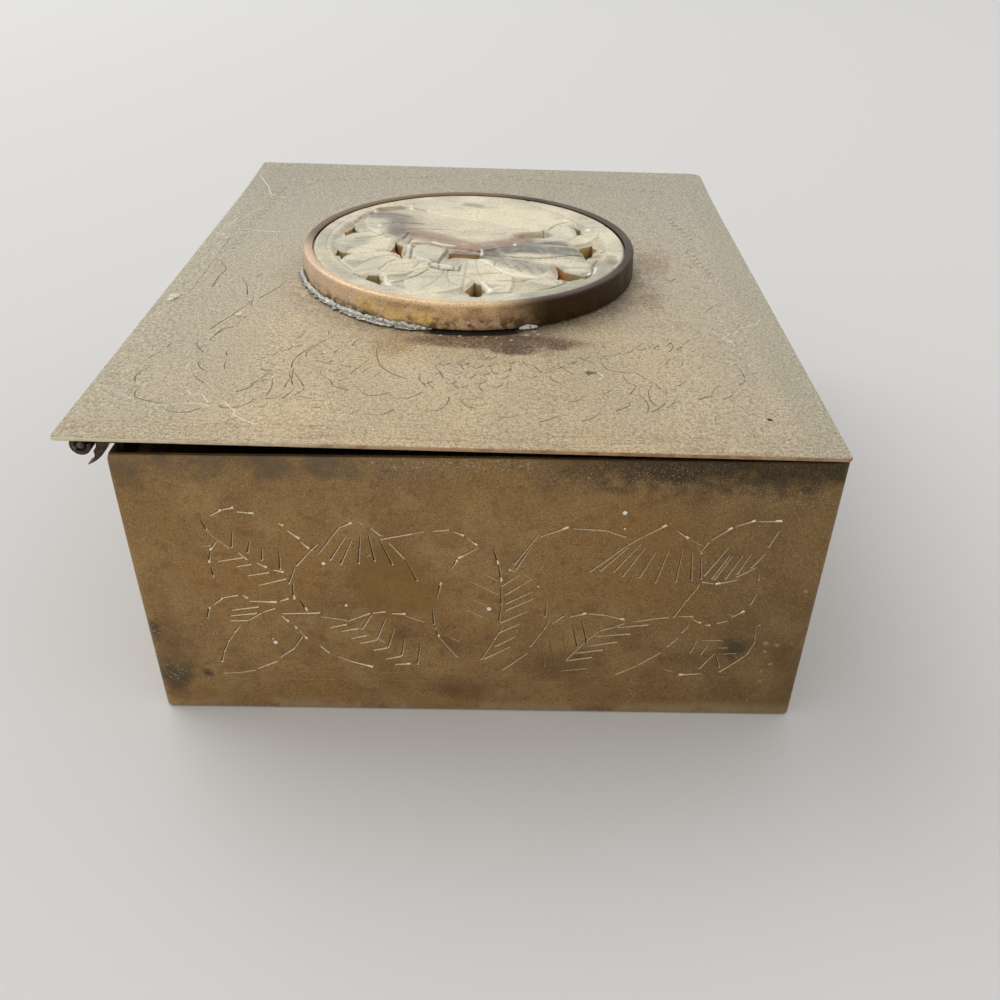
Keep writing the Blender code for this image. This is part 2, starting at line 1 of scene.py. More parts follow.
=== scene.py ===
"""Looks of the trinket box: engraved brass, carved stone, solder, wood, floor, light and camera.

The pieces are built in millimetres. Those of the lid are built flat in the lid's own frame, whose
origin lies on the hinge pin, and then turned to the slope at which the closed lid rests.
"""

import functools
import json
import math

import bmesh
import bpy
import numpy as np
from mathutils import Matrix, Vector, noise
from mathutils.geometry import delaunay_2d_cdt


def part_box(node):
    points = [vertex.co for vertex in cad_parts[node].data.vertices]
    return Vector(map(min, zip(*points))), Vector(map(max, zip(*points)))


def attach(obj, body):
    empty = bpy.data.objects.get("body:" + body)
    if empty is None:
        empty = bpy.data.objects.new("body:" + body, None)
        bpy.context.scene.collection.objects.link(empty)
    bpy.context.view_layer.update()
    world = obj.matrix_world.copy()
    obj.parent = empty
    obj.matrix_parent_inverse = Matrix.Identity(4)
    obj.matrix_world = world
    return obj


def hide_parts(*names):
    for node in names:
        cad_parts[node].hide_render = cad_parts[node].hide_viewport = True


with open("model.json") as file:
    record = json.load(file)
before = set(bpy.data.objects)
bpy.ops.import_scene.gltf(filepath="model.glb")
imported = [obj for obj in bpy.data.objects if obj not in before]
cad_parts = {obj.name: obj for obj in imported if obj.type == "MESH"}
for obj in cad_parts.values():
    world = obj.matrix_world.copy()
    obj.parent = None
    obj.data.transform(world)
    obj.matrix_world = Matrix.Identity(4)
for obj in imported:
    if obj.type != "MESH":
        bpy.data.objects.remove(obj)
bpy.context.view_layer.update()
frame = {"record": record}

MM = 0.001
TINY = 1e-6
WELD = 1e-5                     # points of a flat drawing that are closer than this are one
SEAM = 1e-4                     # points this close to the unrolled walls' ends lie on their seam

# Sheet
SHEET = 0.8
LID_SHEET = 0.6
CORNER_RADIUS = 0.9             # upright outside corners of the case
LID_CORNER_RADII = (2.2, 0.6, 0.6, 0.6)     # far right, far left, near left, near right
EDGE_ROUND = 0.12               # rounding of the sheets' edges
EDGE_DRAFT = 0.01               # keeps the tilted lid's lower edge inside the CAD box
EDGE_WAVE = 0.05                # hand-filed unevenness of the lid's edge
EDGE_STEP = 2.5
LEFT_LEAN = 0.62                # the hinge side's foot stands out by this much
RIGHT_LEAN = 0.25               # the opening side's rim stands out by this much
LEAN_REACH = 10.0               # the near and far walls follow a side's lean as far as this
RIM_ROLL = 0.35                 # the hinge side's rim is beaten inward
ROLL_HEIGHT = 1.2
ROLL_START = 0.7                # share of the lean from which a place takes part in the roll
LEVELS = (1.0, 3.0, 6.0, 12.0, 20.0, 30.0, 38.0, 42.0, 44.0, 44.6)      # rows of points up the walls
CORNER_PARTS = 12
LID_WARP = 0.75                 # the lid's far edge is bent up by this much
WARP_LINES = (33.0, 41.0, 48.0, 54.0, 59.0)     # the bend begins at the first of these

# Engraving
LIGHT = (-0.5, 0.87)            # where the photograph's light comes from, on the near wall
GROOVE_SLOPE = 0.70             # depth of a cut per half width
STROKES = (                     # width of a cut where it starts and where it ends, strength, strength of the painted glint on its end burr
    ((0.20, 0.48), 1.0, 1.0),
    ((0.20, 0.38), 1.0, 0.3),
    ((0.14, 0.22), 0.45, 0.0),
)
NEEDLE = (0.10, 0.25)           # width of a cut on the lid
SCRAPE = (0.16, 0.28)
SCRIBER = (0.07, 0.07)
FAINT = 0.12
NUB = 0.75                      # share of a cut after which the painted glint on its end burr begins
CURVE_PARTS = 3                 # straight parts between two given points of a stroke
LUMP_RINGS = (0.35, 0.65, 0.85, 1.0)        # shares of a drip's radius
LUMP_PARTS = 16
LID_INSET = 0.6                 # the lid's drawing begins this far from its hinge edge
LID_SHIFT = ((5.0, 22.0, 86.0, 91.0), (0.35, 0.85, 0.85, 0.40))     # and is moved on by this much there

# Medallion, in the lid's frame
BEZEL_RADIUS = 29.5
BEZEL_HEIGHT = 4.5
BEZEL_WALL = 0.9
BEZEL_DRAFT = 0.15
BEZEL_PARTS = 216
BEZEL_DENTS = ((0.07, 9.0, 0.8), (0.03, 30.0, 2.0))     # size, how closely they follow round the ring and up it
BEZEL_SINK = 0.05               # unevenness of its top
LIP_RADIUS = 27.85
LIP_SHEET = 0.35
SEAT_GAP = 0.3
STONE_RADIUS = 28.15
STONE_BREAK = 0.774             # chamfer under the lip
STONE_RECESS = 0.3
FIELD_RADIUS = 24.95
FIELD_DEPTH = 0.8
CARVING_GRID = 0.28
CARVED_GROUND = 0.42            # depth of the narrow gaps between the carved forms
CARVED_BEVEL = 0.30             # width of a form's cut edge
FORM_EDGE = 0.15                # depth of that edge
LEAF_LEVEL = -0.17
FRUIT_LEVEL = -0.20
FRUIT_CROWN = 0.17              # rise of the fruit's middle over its edge
CROWN_REACH = 9.0               # and how far in it goes on
RIB = (0.35, 0.10)              # half width and depth of a leaf's middle line
HATCH_CUT = (0.20, 0.18)
STREAK_CUT = (0.34, 0.045)
CHIP_DEPTH = 0.16
PIERCED_SINK = (0.9, 0.30)      # the face dips towards a piercing: reach and depth
PIERCED_STEP = 0.35
PIERCED_CURVE = 0.09            # how far a piercing's sides bow in, per length
PIERCED_BOW = 0.30              # and at most
RAGGED = 0.10
DARKEST_CUT = 0.20                # a cut as deep as this is fully darkened, with dirt and painted shade
BRIGHT_CUT = 0.30               # and one as deep as this has a full painted highlight on its far edge
FORM_DIRT_AND_SHADE = 0.35                # reach of the dirt and painted shade at a form's foot
FORM_LIGHT = ((0.25, 0.45), (0.55, 0.85), 0.22)     # where its painted highlight sets in and fades, and how strong it is
LEAF_STAGGER = 0.045            # neighbouring leaves lie at different heights
LEAF_TILT = 0.05                # and slope sideways
# dirt and painted shade over the ground between the carved forms
GROUND_DIRT_AND_SHADE = 0.30
LIGHT_RISE = 0.10               # rise of the ridge under a painted highlight, and its added half width
CUT_LIGHT = (Vector((0.10, -0.42)), 0.26, 0.8)      # painted highlight along a cut's far edge: shift, half width, strength
# the same for the painted highlight beside each hatch line
HATCH_LIGHT = (Vector((0.28, -0.14)), 0.18, 0.7)
CARVED_WAVE = 0.035
CARVED_TOP = 0.06
STONE_LEVELS = (0.25, 0.55, 0.8, 1.0)       # rings down the stone's sides

# Camera: fitted to the box's corners and the medallion's ellipse in the photograph
CAMERA_PLACE = Vector((7.45, -166.65, 109.92)) * MM
CAMERA_PITCH = math.radians(34.20)
CAMERA_YAW = math.radians(0.68)
CAMERA_ROLL = math.radians(-0.32)
FOCAL_PIXELS = 959.1
PHOTO_PIXELS = 1000.0
SENSOR = 36.0
CLIP = (5 * MM, 20.0)

# From the frame
CASE_LOW, CASE_HIGH = (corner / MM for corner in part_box("wall_band"))
CASE_WIDTH = CASE_HIGH.x - CASE_LOW.x
CASE_LENGTH = CASE_HIGH.y - CASE_LOW.y
CASE_HEIGHT = CASE_HIGH.z
PIN = Vector(frame["record"]["behaviour"]["joints"][0]["pos_m"]) / MM
PLATE_LOW, PLATE_HIGH = (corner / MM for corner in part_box("lid_plate"))
LID_SLOPE = math.asin((PLATE_HIGH.z - PLATE_LOW.z - LID_SHEET) / (PLATE_HIGH.x - PLATE_LOW.x))
LID_FRAME = Matrix.Translation(PIN) @ Matrix.Rotation(LID_SLOPE, 4, "Y")
# The lid is let in by its sheet's thickness at both sides, which keeps the tilted edges inside the CAD box
LID_WIDTH = (PLATE_HIGH.x - PLATE_LOW.x - 2 * LID_SHEET * math.sin(LID_SLOPE)) / math.cos(LID_SLOPE)
LID_LENGTH = PLATE_HIGH.y - PLATE_LOW.y
LID_TOP = (LID_FRAME.inverted() @ Vector((PLATE_HIGH.x, 0.0, PLATE_LOW.z))).z + LID_SHEET
LID_LEFT = (LID_FRAME.inverted() @ Vector((PLATE_LOW.x, 0.0, PLATE_HIGH.z - LID_SHEET))).x
BEZEL_LOW, BEZEL_HIGH = (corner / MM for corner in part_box("bezel_ring"))
MEDALLION = LID_FRAME.inverted() @ ((BEZEL_LOW + BEZEL_HIGH) / 2)
AXIS = Vector((MEDALLION.x, MEDALLION.y, 0.0))

# Floor and light
FLOOR_SIZE = 6.0
FLOOR_DROP = 0.2
FLOOR_COLOUR = (0.72, 0.71, 0.69, 1.0)
SKY_STRENGTH = 0.72
WINDOW = ((-1.1, 0.8, 1.5), 1.6, 15.0)      # place, size, energy


def uneven(x, y, z, pitch=1.0):
    """Smooth unevenness, between -1 and 1. It is the same in each run."""
    return noise.noise(Vector((x, y, z)) * pitch)


# Flat curves

def direction(angle):
    """Flat unit vector at an angle in radians."""
    return Vector((math.cos(angle), math.sin(angle)))


def closed(loop):
    """The loop with its first point again at its end."""
    return loop + loop[:1]


def sides_of(loop):
    """The two ends of each side of a closed loop."""
    return zip(loop, loop[1:] + loop[:1])


def pairs(numbers):
    """Points from a flat row of numbers."""
    return [Vector(p) for p in zip(numbers[::2], numbers[1::2])]


def smooth_path(points, joined=False):
    """Curve through the points, each stretch cut into parts. Two points stay a straight stretch."""
    given = [Vector(p) for p in points]
    if len(given) < 3:
        return [given[0].lerp(given[1], i / CURVE_PARTS) for i in range(CURVE_PARTS + 1)]
    last = len(given) - 1
    path = []
    for i in range(last + joined):
        nears = [(i + k) % (last + 1) if joined else min(max(i + k, 0), last) for k in (-1, 0, 1, 2)]
        before, a, b, after = (given[k] for k in nears)
        for j in range(CURVE_PARTS):
            t = j / CURVE_PARTS
            bend = (b - before) * t + (before * 2 - a * 5 + b * 4 - after) * t ** 2
            path.append(a + (bend + (a * 3 - before - b * 3 + after) * t ** 3) * 0.5)
    return path if joined else path + [given[-1]]


def beside(points, a, b):
    """How far along the line from a to b each point lies, and its offset from the nearest place there."""
    start = np.array(a)
    span = np.array(b) - start
    share = np.clip((points - start) @ span / max(span @ span, TINY ** 2), 0.0, 1.0)
    return share, points - start - share[:, None] * span


def distance_to(points, path):
    """Least distance from each point to a path."""
    return np.min([np.hypot(*beside(points, a, b)[1].T) for a, b in zip(path, path[1:])], axis=0)


def inside(points, loop):
    """True for each point that lies inside the closed loop."""
    hits = np.zeros(len(points), bool)
    x, y = points.T
    for (ax, ay), (bx, by) in sides_of(loop):
        if ay != by:
            hits ^= ((ay > y) != (by > y)) & (x < (bx - ax) * (y - ay) / (by - ay) + ax)
    return hits


def step(values, low, high):
    """0 below low, 1 above high, smooth between."""
    t = np.clip((values - low) / (high - low), 0.0, 1.0)
    return t * t * (3.0 - 2.0 * t)


def fall(values, low, high):
    """1 below low, 0 above high, smooth between."""
    return 1.0 - step(values, low, high)


def rounded_rectangle(width, length, radii, edge_step):
    """Outline centred on the origin, anticlockwise, with points along its sides too."""
    points = []
    for radius, (side_x, side_y, turn) in zip(radii, ((1, 1, 0), (-1, 1, 90), (-1, -1, 180), (1, -1, 270))):
        centre = Vector((side_x * (width / 2 - radius), side_y * (length / 2 - radius)))
        points += [centre + direction(math.radians(turn + 15 * i)) * radius for i in range(7)]
    outline = []
    for a, b in sides_of(points):
        parts = max(1, round((b - a).length / edge_step))
        outline += [a.lerp(b, i / parts) for i in range(parts)]
    return outline


# Pieces

def padded(values, count, filler=0.0):
    """The values followed by fillers up to the count."""
    return [*values, *[filler] * (count - len(values))]


def add_ring(places, ring):
    """Append a ring's points and say where they are."""
    places += ring
    return range(len(places) - len(ring), len(places))


def band(a, b):
    """Faces between two rings with equally many points."""
    return [(a[i - 1], a[i], b[i], b[i - 1]) for i in range(len(a))]


def bands(rings):
    """Faces from each ring to the next."""
    return [face for a, b in zip(rings, rings[1:]) for face in band(a, b)]


def sweep(sections, joined):
    """Points and faces of a body with these cross-sections, joined up or with two flat ends."""
    places = []
    rings = [add_ring(places, section) for section in sections]
    ends = [] if joined else [tuple(rings[0]), tuple(rings[-1])]
    return places, bands(closed(rings) if joined else rings) + ends


def make_piece(
    name, places, faces, material, body, nodes, marks=None, turn=None, sharp=35.0, smooth=None, lit=None,
):
    """A mesh piece in millimetres that stands for CAD nodes and rides on their body.

    marks are numbers on its points for the material and lit is a number on each face. They are 0
    beyond their end. smooth tells face by face what isn't flat, and is true beyond its end. Points
    that no face uses are left out.
    """
    kept = sorted({i for face in faces for i in face})
    new = {old: i for i, old in enumerate(kept)}
    shown = [Vector(places[i]) for i in kept]
    mesh = bpy.data.meshes.new(name)
    mesh.from_pydata([(turn @ p if turn else p) * MM for p in shown], [], [[new[i] for i in f] for f in faces])
    for label, values in (marks or {}).items():
        numbers = np.array(padded(values, len(places)), dtype=np.float32)[kept]
        mesh.attributes.new(label, "FLOAT", "POINT").data.foreach_set("value", numbers)
    if lit is not None:
        numbers = np.array(padded(lit, len(faces)), dtype=np.float32)
        mesh.attributes.new("lit", "FLOAT", "FACE").data.foreach_set("value", numbers)
    bm = bmesh.new()
    bm.from_mesh(mesh)
    bmesh.ops.recalc_face_normals(bm, faces=bm.faces)
    bm.to_mesh(mesh)
    bm.free()
    mesh.shade_smooth()
    mesh.set_sharp_from_angle(angle=math.radians(sharp))
    if smooth:
        mesh.polygons.foreach_set("use_smooth", padded(smooth, len(faces), True))
    piece = bpy.data.objects.new(name, mesh)
    bpy.context.scene.collection.objects.link(piece)
    piece.data.materials.append(material)
    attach(piece, body)
    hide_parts(*nodes)


def dress(node, material):
    """Give a CAD node that keeps its shape a better material."""
    mesh = bpy.data.objects[node].data
    mesh.materials.clear()
    mesh.materials.append(material)


# Engraving

class Engraving:
    """Tapered V cuts on a flat sheet: (path, half width at its start and end, strength, kind, painted glint on its end
    burr).
    """

    def __init__(self):
        self.cuts = []
        self.lumps = []

    def cut(self, strokes, widths, strength=1.0, kind="cut", place=tuple, burr=0.0):
        for numbers in strokes:
            path = smooth_path([place(p) for p in pairs(numbers)])
            self.cuts.append((path, widths[0] / 2, widths[1] / 2, strength, kind, burr))

    def chain(self, strokes, *style):
        """Strokes of which each straight part is a cut of its own."""
        for numbers in strokes:
            for i in range(0, len(numbers) - 2, 2):
                self.cut([numbers[i:i + 4]], *style)

    def draw(self, motif, place):
        for strokes, (widths, strength, burr) in zip(motif, STROKES):
            self.chain(strokes, widths, strength, "cut", place, burr)

    def lines(self):
        """Chains of points that the triangulation has to follow."""
        chains = []
        for path, thin, thick, *_ in self.cuts:
            last = len(path) - 1
            sides = []
            for i, p in enumerate(path):
                along = (path[min(i + 1, last)] - path[max(i - 1, 0)]).normalized()
                side = Vector((-along.y, along.x)) * (thin + (thick - thin) * i / last)
                sides.append((p + side, p - side))
            left, right = (list(points) for points in zip(*sides))
            chains += [closed(left + right[::-1]), self.bottom(path, thin, thick)]
        for centre, radius, _ in self.lumps:
            for share in LUMP_RINGS:
                turns = [2 * math.pi * k / LUMP_PARTS for k in range(LUMP_PARTS)]
                chains.append(closed([centre + direction(turn) * radius * share for turn in turns]))
        return chains

    @staticmethod
    def bottom(path, thin, thick):
        """The groove's lowest line, which ends short of both ends of the cut."""
        first = path[0].lerp(path[1], min(0.9, thin / max((path[1] - path[0]).length, TINY)))
        final = path[-1].lerp(path[-2], min(0.9, thick / max((path[-1] - path[-2]).length, TINY)))
        return [first] + path[1:-1] + [final]

    def flanks(self, points):
        """Cut by cut and part by part: the points near it, how far along the cut they lie, the
        direction away from its lowest line, the half width there and the height on the flank."""
        for path, thin, thick, *style in self.cuts:
            chain = self.bottom(path, thin, thick)
            reach = max(thin, thick)
            low = np.min([tuple(p) for p in chain], axis=0) - reach
            high = np.max([tuple(p) for p in chain], axis=0) + reach
            near = np.nonzero(np.all((points >= low) & (points <= high), axis=1))[0]
            count = len(chain) - 1
            for i in range(count):
                share, offset = beside(points[near], chain[i], chain[i + 1])
                away = np.maximum(np.hypot(*offset.T), TINY)
                run = (i + share) / count
                half = thin + (thick - thin) * run
                yield near, run, offset / away[:, None], half, np.clip(1.0 - away / half, 0.0, 1.0), *style

    def relief(self, points):
        """Depth at each point, and for each kind of cut how far down its flank the point lies."""
        depth = np.zeros(len(points))
        marks = {kind: np.zeros(len(points)) for kind in {"burr", *(cut[4] for cut in self.cuts)}}
        for near, run, _, half, flank, strength, kind, burr in self.flanks(points):
            depth[near] = np.maximum(depth[near], flank * half * GROOVE_SLOPE)
            marks[kind][near] = np.maximum(marks[kind][near], flank * strength)
            marks["burr"][near] = np.maximum(marks["burr"][near], flank * burr * (run > NUB))
        for centre, radius, height in self.lumps:
            away = np.hypot(*(points - np.array(centre)).T) / radius
            depth -= height * np.sqrt(np.clip(1.0 - away ** 2, 0.0, 1.0))
        return depth, marks

    def lit(self, flat, faces):
        """How far each face of a cut looks to the light, from -1 to 1, for the painted light and shade on its flanks.
        It is 0 outside the cuts.
        """
        deepest = np.zeros(len(faces))
        light = np.zeros(len(faces))
        for near, _, outward, half, flank, strength, *_ in self.flanks(middles(flat, faces)):
            deeper = flank * half > deepest[near]
            deepest[near] = np.where(deeper, flank * half, deepest[near])
            light[near] = np.where(deeper, -(outward @ np.array(LIGHT)) * strength, light[near])
        return light


def triangulate(chains, points=()):
    """Flat triangulation that follows the chains of points and takes in the loose points."""
    places = [Vector(p) for p in points]
    edges = []
    for chain in chains:
        first = len(places)
        places += chain
        edges += [(first + i, first + i + 1) for i in range(len(chain) - 1)]
    flat, _, faces, _, _, _ = delaunay_2d_cdt(places, edges, [], 0, WELD, False)
    return np.array([tuple(p) for p in flat]), [tuple(f) for f in faces]


def indices(flat, points):
    """Where each of the points is in the triangulation."""
    return [int(np.argmin(np.hypot(flat[:, 0] - p[0], flat[:, 1] - p[1]))) for p in points]


def middles(flat, faces):
    """The middle of each face."""
    return np.array([flat[list(face)].mean(axis=0) for face in faces])


# The case's engraving. A stroke's numbers are pairs, in millimetres from the near wall's left edge and
# down from the rim. Each motif: strokes that end in a bright burr, plain strokes and faint strokes.

BORDER = (6.0, 7.6)             # two scribed lines inside the edges

UPPER_LEAF = (
    (
        (11.95, 9.4, 13.7, 8.35, 15.4, 8), (15.6, 8.65, 17.95, 8.9), (20.95, 10.4, 21.7, 10.9),
        (22.1, 11.6, 23.6, 13.05), (23.75, 13.55, 24.75, 14.7), (12.25, 13.6, 11, 15.2), (11.05, 15.5, 10.55, 17.4),
        (10.7, 18, 10.9, 20), (17.2, 17.2, 18.55, 18.1), (19.25, 18.45, 20.8, 18.85),
    ),
    (
        (10.7, 10.1, 11.2, 11.75), (14.9, 15.45, 16.05, 16.8), (14.6, 11.95, 14.1, 14.8), (16.75, 13.5, 16.2, 15.6),
        (18.3, 14.75, 18, 16.9), (20.6, 14.95, 20.3, 18.5), (11.8, 17.1, 15.4, 16.35), (14.2, 18, 16.4, 17.5),
        (15.6, 19.55, 18.75, 18.9), (16.75, 21.3, 21, 20),
    ),
    ((11.2, 11.75, 11.95, 13), (12, 13, 13.75, 14.8), (10, 14.6, 11.4, 14.3)),
)

LOWER_LEAF = (
    (
        (14.4, 23.1, 15.1, 23.7), (10, 24.9, 11.5, 23.6), (8.7, 27.6, 9.4, 25.25), (15.1, 24.15, 19.1, 24.3),
        (19.5, 24.1, 20.9, 23.6), (19.5, 26.8, 20.4, 28), (20.75, 28, 21.4, 29.3), (21.75, 29.6, 22.7, 31.3),
        (28.5, 35.5, 32, 36.7),
    ),
    (
        (11.5, 23.6, 13.75, 23.1), (11.8, 27.95, 14.6, 27.8, 16.75, 26.25, 18.7, 25.45), (13.25, 28.7, 12.2, 30.2),
        (12.2, 30.2, 11, 32, 10.1, 34, 9.45, 36.1), (18.25, 35, 20.6, 33.1, 22, 30.75), (14.5, 37.4, 17.75, 35.75),
        (12.4, 25.9, 16.4, 25.2), (12, 27, 16, 26.4), (24.4, 32.5, 25.75, 34),
    ),
    (
        (8.7, 27.6, 9.6, 30.5), (16.75, 26.4, 17.4, 29.1), (18.25, 25.9, 18.8, 28.1), (14.6, 27.9, 14.8, 29),
        (12.2, 30.25, 12.6, 31.6), (9.3, 38.4, 11.75, 38.25, 14.25, 37.7), (26.75, 34.6, 28.5, 35.5),
    ),
)

PEACH = (
    (
        (29.1, 11.1, 30.95, 10.2), (21.75, 20.6, 21.65, 23.8), (22.5, 23.75, 23.25, 25.9), (47.95, 14.1, 45, 16.05),
        (44.6, 11.5, 45.95, 12.2), (46.4, 12.5, 47.75, 13.8), (44, 18, 45, 16.25),
    ),
    (
        (25.75, 15.8, 27.6, 13.2, 29.1, 11.1), (26, 13.9, 24.9, 15, 22.6, 17.75), (22.4, 18, 21.2, 21),
        (33.4, 11.1, 34.75, 12.4), (29.95, 12.45, 27.4, 16.7), (30.8, 12.9, 28.8, 17.4), (31.9, 12.4, 31.3, 17.25),
        (33, 12.1, 33.6, 16.8), (34.45, 13, 36, 17.4), (35.65, 13.4, 37.75, 16.25, 39.3, 20.2), (34.5, 13, 39.1, 11.9),
        (41.6, 11.5, 43.95, 11.2), (19.5, 26.45, 25.1, 26.2),
    ),
    ((39.1, 11.9, 40.6, 11.6), (32.5, 16, 33.1, 15.55), (31.7, 10, 32.5, 10.6)),
)

HANGING_LEAF = (
    ((35.25, 36.1, 37.6, 35.9), (35.25, 26.15, 37.4, 26.2)),
    (
        (28.9, 27.75, 32.25, 26.1), (32.6, 26.1, 34.5, 25.8), (32.5, 26.4, 30.8, 29.3), (34.4, 27.25, 32.9, 31.1),
        (35.6, 29, 34.45, 32.75), (37, 30.75, 36.35, 34.4), (39.25, 32, 38.6, 36.1), (26.1, 29, 28.75, 28.3),
        (27.75, 29.7, 30.4, 29.05), (29.1, 31.05, 31.5, 30.4), (30.25, 32, 32.9, 31.25), (32, 33.4, 34.4, 32.75),
        (33.9, 35.1, 36.3, 34.4),
    ),
    ((25.1, 26.9, 28.9, 27.6), (37.4, 26.6, 40, 27.7), (33.1, 31.1, 34.1, 31.75)),
)

MIDDLE_LEAVES = (
    (
        (41.95, 23.25, 42.6, 20.25), (53.1, 18.2, 52, 17.9), (56.75, 22, 56.1, 20.7), (49.9, 14.25, 50.6, 17),
        (50.65, 17.1, 51.05, 20.05), (41.6, 29, 42, 30.55),
    ),
    (
        (41.25, 24.9, 41.35, 28.25, 41.6, 29), (42.05, 30.6, 44.6, 34.5), (53.6, 18.75, 51, 20.9),
        (51, 21, 51.05, 24.25, 50.7, 27.6), (51.25, 28.25, 50, 31, 48.05, 34.95), (55.1, 19.6, 51.6, 22.4),
        (55.4, 21.75, 51.6, 24.1), (55.75, 22.9, 51.5, 25.4), (54.75, 25.4, 50.75, 27.75), (53.75, 27.75, 50.6, 29.6),
        (53.1, 30.25, 50.1, 32.25), (52.4, 32.25, 48.5, 34.75), (57.4, 24, 57.35, 26.4),
    ),
    (
        (48.75, 13, 49.45, 14.25), (54, 18.6, 55.5, 19.75), (46.6, 20, 50.6, 22.4), (48.5, 18.6, 50.5, 19.9),
        (46.9, 23.25, 49, 24.5), (46, 25.25, 48.4, 26.6), (43.6, 30.6, 45, 31.4),
    ),
)

RIGHT_PEACH = (
    ((56.1, 12.25, 60.05, 10.5), (70.1, 11.9, 73.1, 9.95), (74.4, 10.75, 76.25, 12.2)),
    (
        (56.4, 11.25, 52.75, 17), (55, 14, 53, 17.9), (60.5, 10.75, 65, 11, 67.9, 12.1),
        (70.1, 11.9, 68, 13.5, 63.25, 18.1), (68.25, 13.75, 64.6, 18), (69.9, 13.1, 66.5, 18.1),
        (70.6, 13.6, 67.75, 18.9), (72, 14.5, 70.1, 19.1), (73.75, 14.25, 72.4, 20), (75.6, 14.1, 75.25, 19.75),
        (76.9, 14.5, 77.4, 19.5), (77.4, 13.25, 78.25, 14.75), (78.25, 15.5, 78.7, 19.25),
        (78.5, 20, 78.25, 21, 77, 23.25, 75.6, 26.25),
    ),
    ((76.5, 12.4, 78, 13.25),),
)

RIGHT_LEAF = (
    (
        (79.25, 12.4, 81.9, 10.2), (82.1, 10.1, 84.8, 9.05), (84.9, 9.2, 88.25, 9.1), (83.9, 19.1, 80.7, 20),
        (83.75, 26.1, 85.6, 24.75), (80.25, 27.4, 81.1, 27.65), (78.6, 26.6, 79.7, 27.2),
    ),
    (
        (78, 14.6, 79, 12.6), (88.1, 10.6, 87, 13.6), (86.9, 14.5, 85.25, 17.1), (86, 16.9, 83.5, 18.75),
        (80.6, 19.9, 78.8, 19.6), (81.75, 13.6, 79, 18.6), (82.1, 14.9, 80.1, 19.1), (82.5, 15, 80.5, 19.25),
        (83.9, 14.9, 82, 19.1), (84.95, 14.75, 83.5, 18.25), (86.8, 21.6, 86.1, 23.75), (83.45, 26.7, 81.75, 27.2),
        (86.45, 18, 86.6, 19.25),
    ),
    ((79.9, 21, 80.5, 21.75), (81, 21.4, 82, 23.2), (83.1, 25.25, 84, 25.75), (78, 26.1, 78.6, 26.6)),
)

LOW_RIGHT_LEAF = (
    ((60.75, 26.4, 63.25, 25.6), (65.9, 25.9, 68.75, 26.75), (81, 37.1, 77.5, 37.45)),
    (
        (58.4, 27.6, 60, 26.1), (63.4, 25.7, 65.9, 25.9), (57.95, 26.75, 57.25, 28.75, 55.25, 32.25),
        (55, 33.4, 51.25, 37), (70.1, 27.1, 72.75, 26.5, 75, 26.15), (76.25, 26, 78.5, 25.9), (68.75, 27.4, 67.6, 28),
        (67.75, 28.25, 72.25, 27.6), (67.6, 28.1, 65.25, 28.9, 63.25, 31.1, 60.5, 34.9), (62.6, 26.75, 63.6, 31.5),
        (61.4, 28.25, 62.25, 32.25), (64.75, 30, 69.75, 29.4), (63.75, 31.9, 68, 31), (61.75, 33.4, 66, 32.6),
        (60.5, 34.95, 64.5, 34.1), (78, 27.6, 77.1, 29.1), (76.75, 30, 75.25, 31.9), (74.6, 32.9, 71.4, 35.5),
        (71.25, 35.6, 68.1, 37.6), (79.6, 30.25, 78.75, 33), (81.2, 31.4, 80.25, 33.5), (82.4, 33, 80.4, 36.25),
        (82.5, 33, 83.4, 35.9), (87.6, 28.25, 87.8, 31, 87, 33.25, 85.25, 35.1), (85.25, 35.1, 83.5, 36.75),
    ),
    (
        (59.9, 29.4, 60.6, 33.5), (57, 31, 57.5, 36.1), (58.1, 30.75, 59.1, 36.1), (60, 37, 63.75, 36.4),
        (78.1, 29.25, 77.6, 32.75), (80.1, 30.45, 83.25, 30.5), (83.5, 33.1, 85.6, 33), (82.5, 31.9, 84.25, 31.9),
        (75.1, 36.3, 76.6, 36.75), (87.6, 27.8, 88.2, 27.2),
    ),
)

NEAR_MOTIFS = (
    UPPER_LEAF, LOWER_LEAF, PEACH, HANGING_LEAF, MIDDLE_LEAVES, RIGHT_PEACH, RIGHT_LEAF, LOW_RIGHT_LEAF,
)

# The unseen faces repeat the motifs: each with its shift along the wall, and -1 where it is mirrored first
NEAR_FACE = tuple((motif, 0.0, 1) for motif in NEAR_MOTIFS)
FAR_FACE = tuple((motif, 95.3, -1) for motif in NEAR_MOTIFS)
LONG_FACE = (
    *((motif, 0.0, 1) for motif in (UPPER_LEAF, LOWER_LEAF, PEACH, HANGING_LEAF)), (MIDDLE_LEAVES, 13.5, 1),
    *((motif, 125.0, -1) for motif in (UPPER_LEAF, LOWER_LEAF, PEACH, HANGING_LEAF)),
)


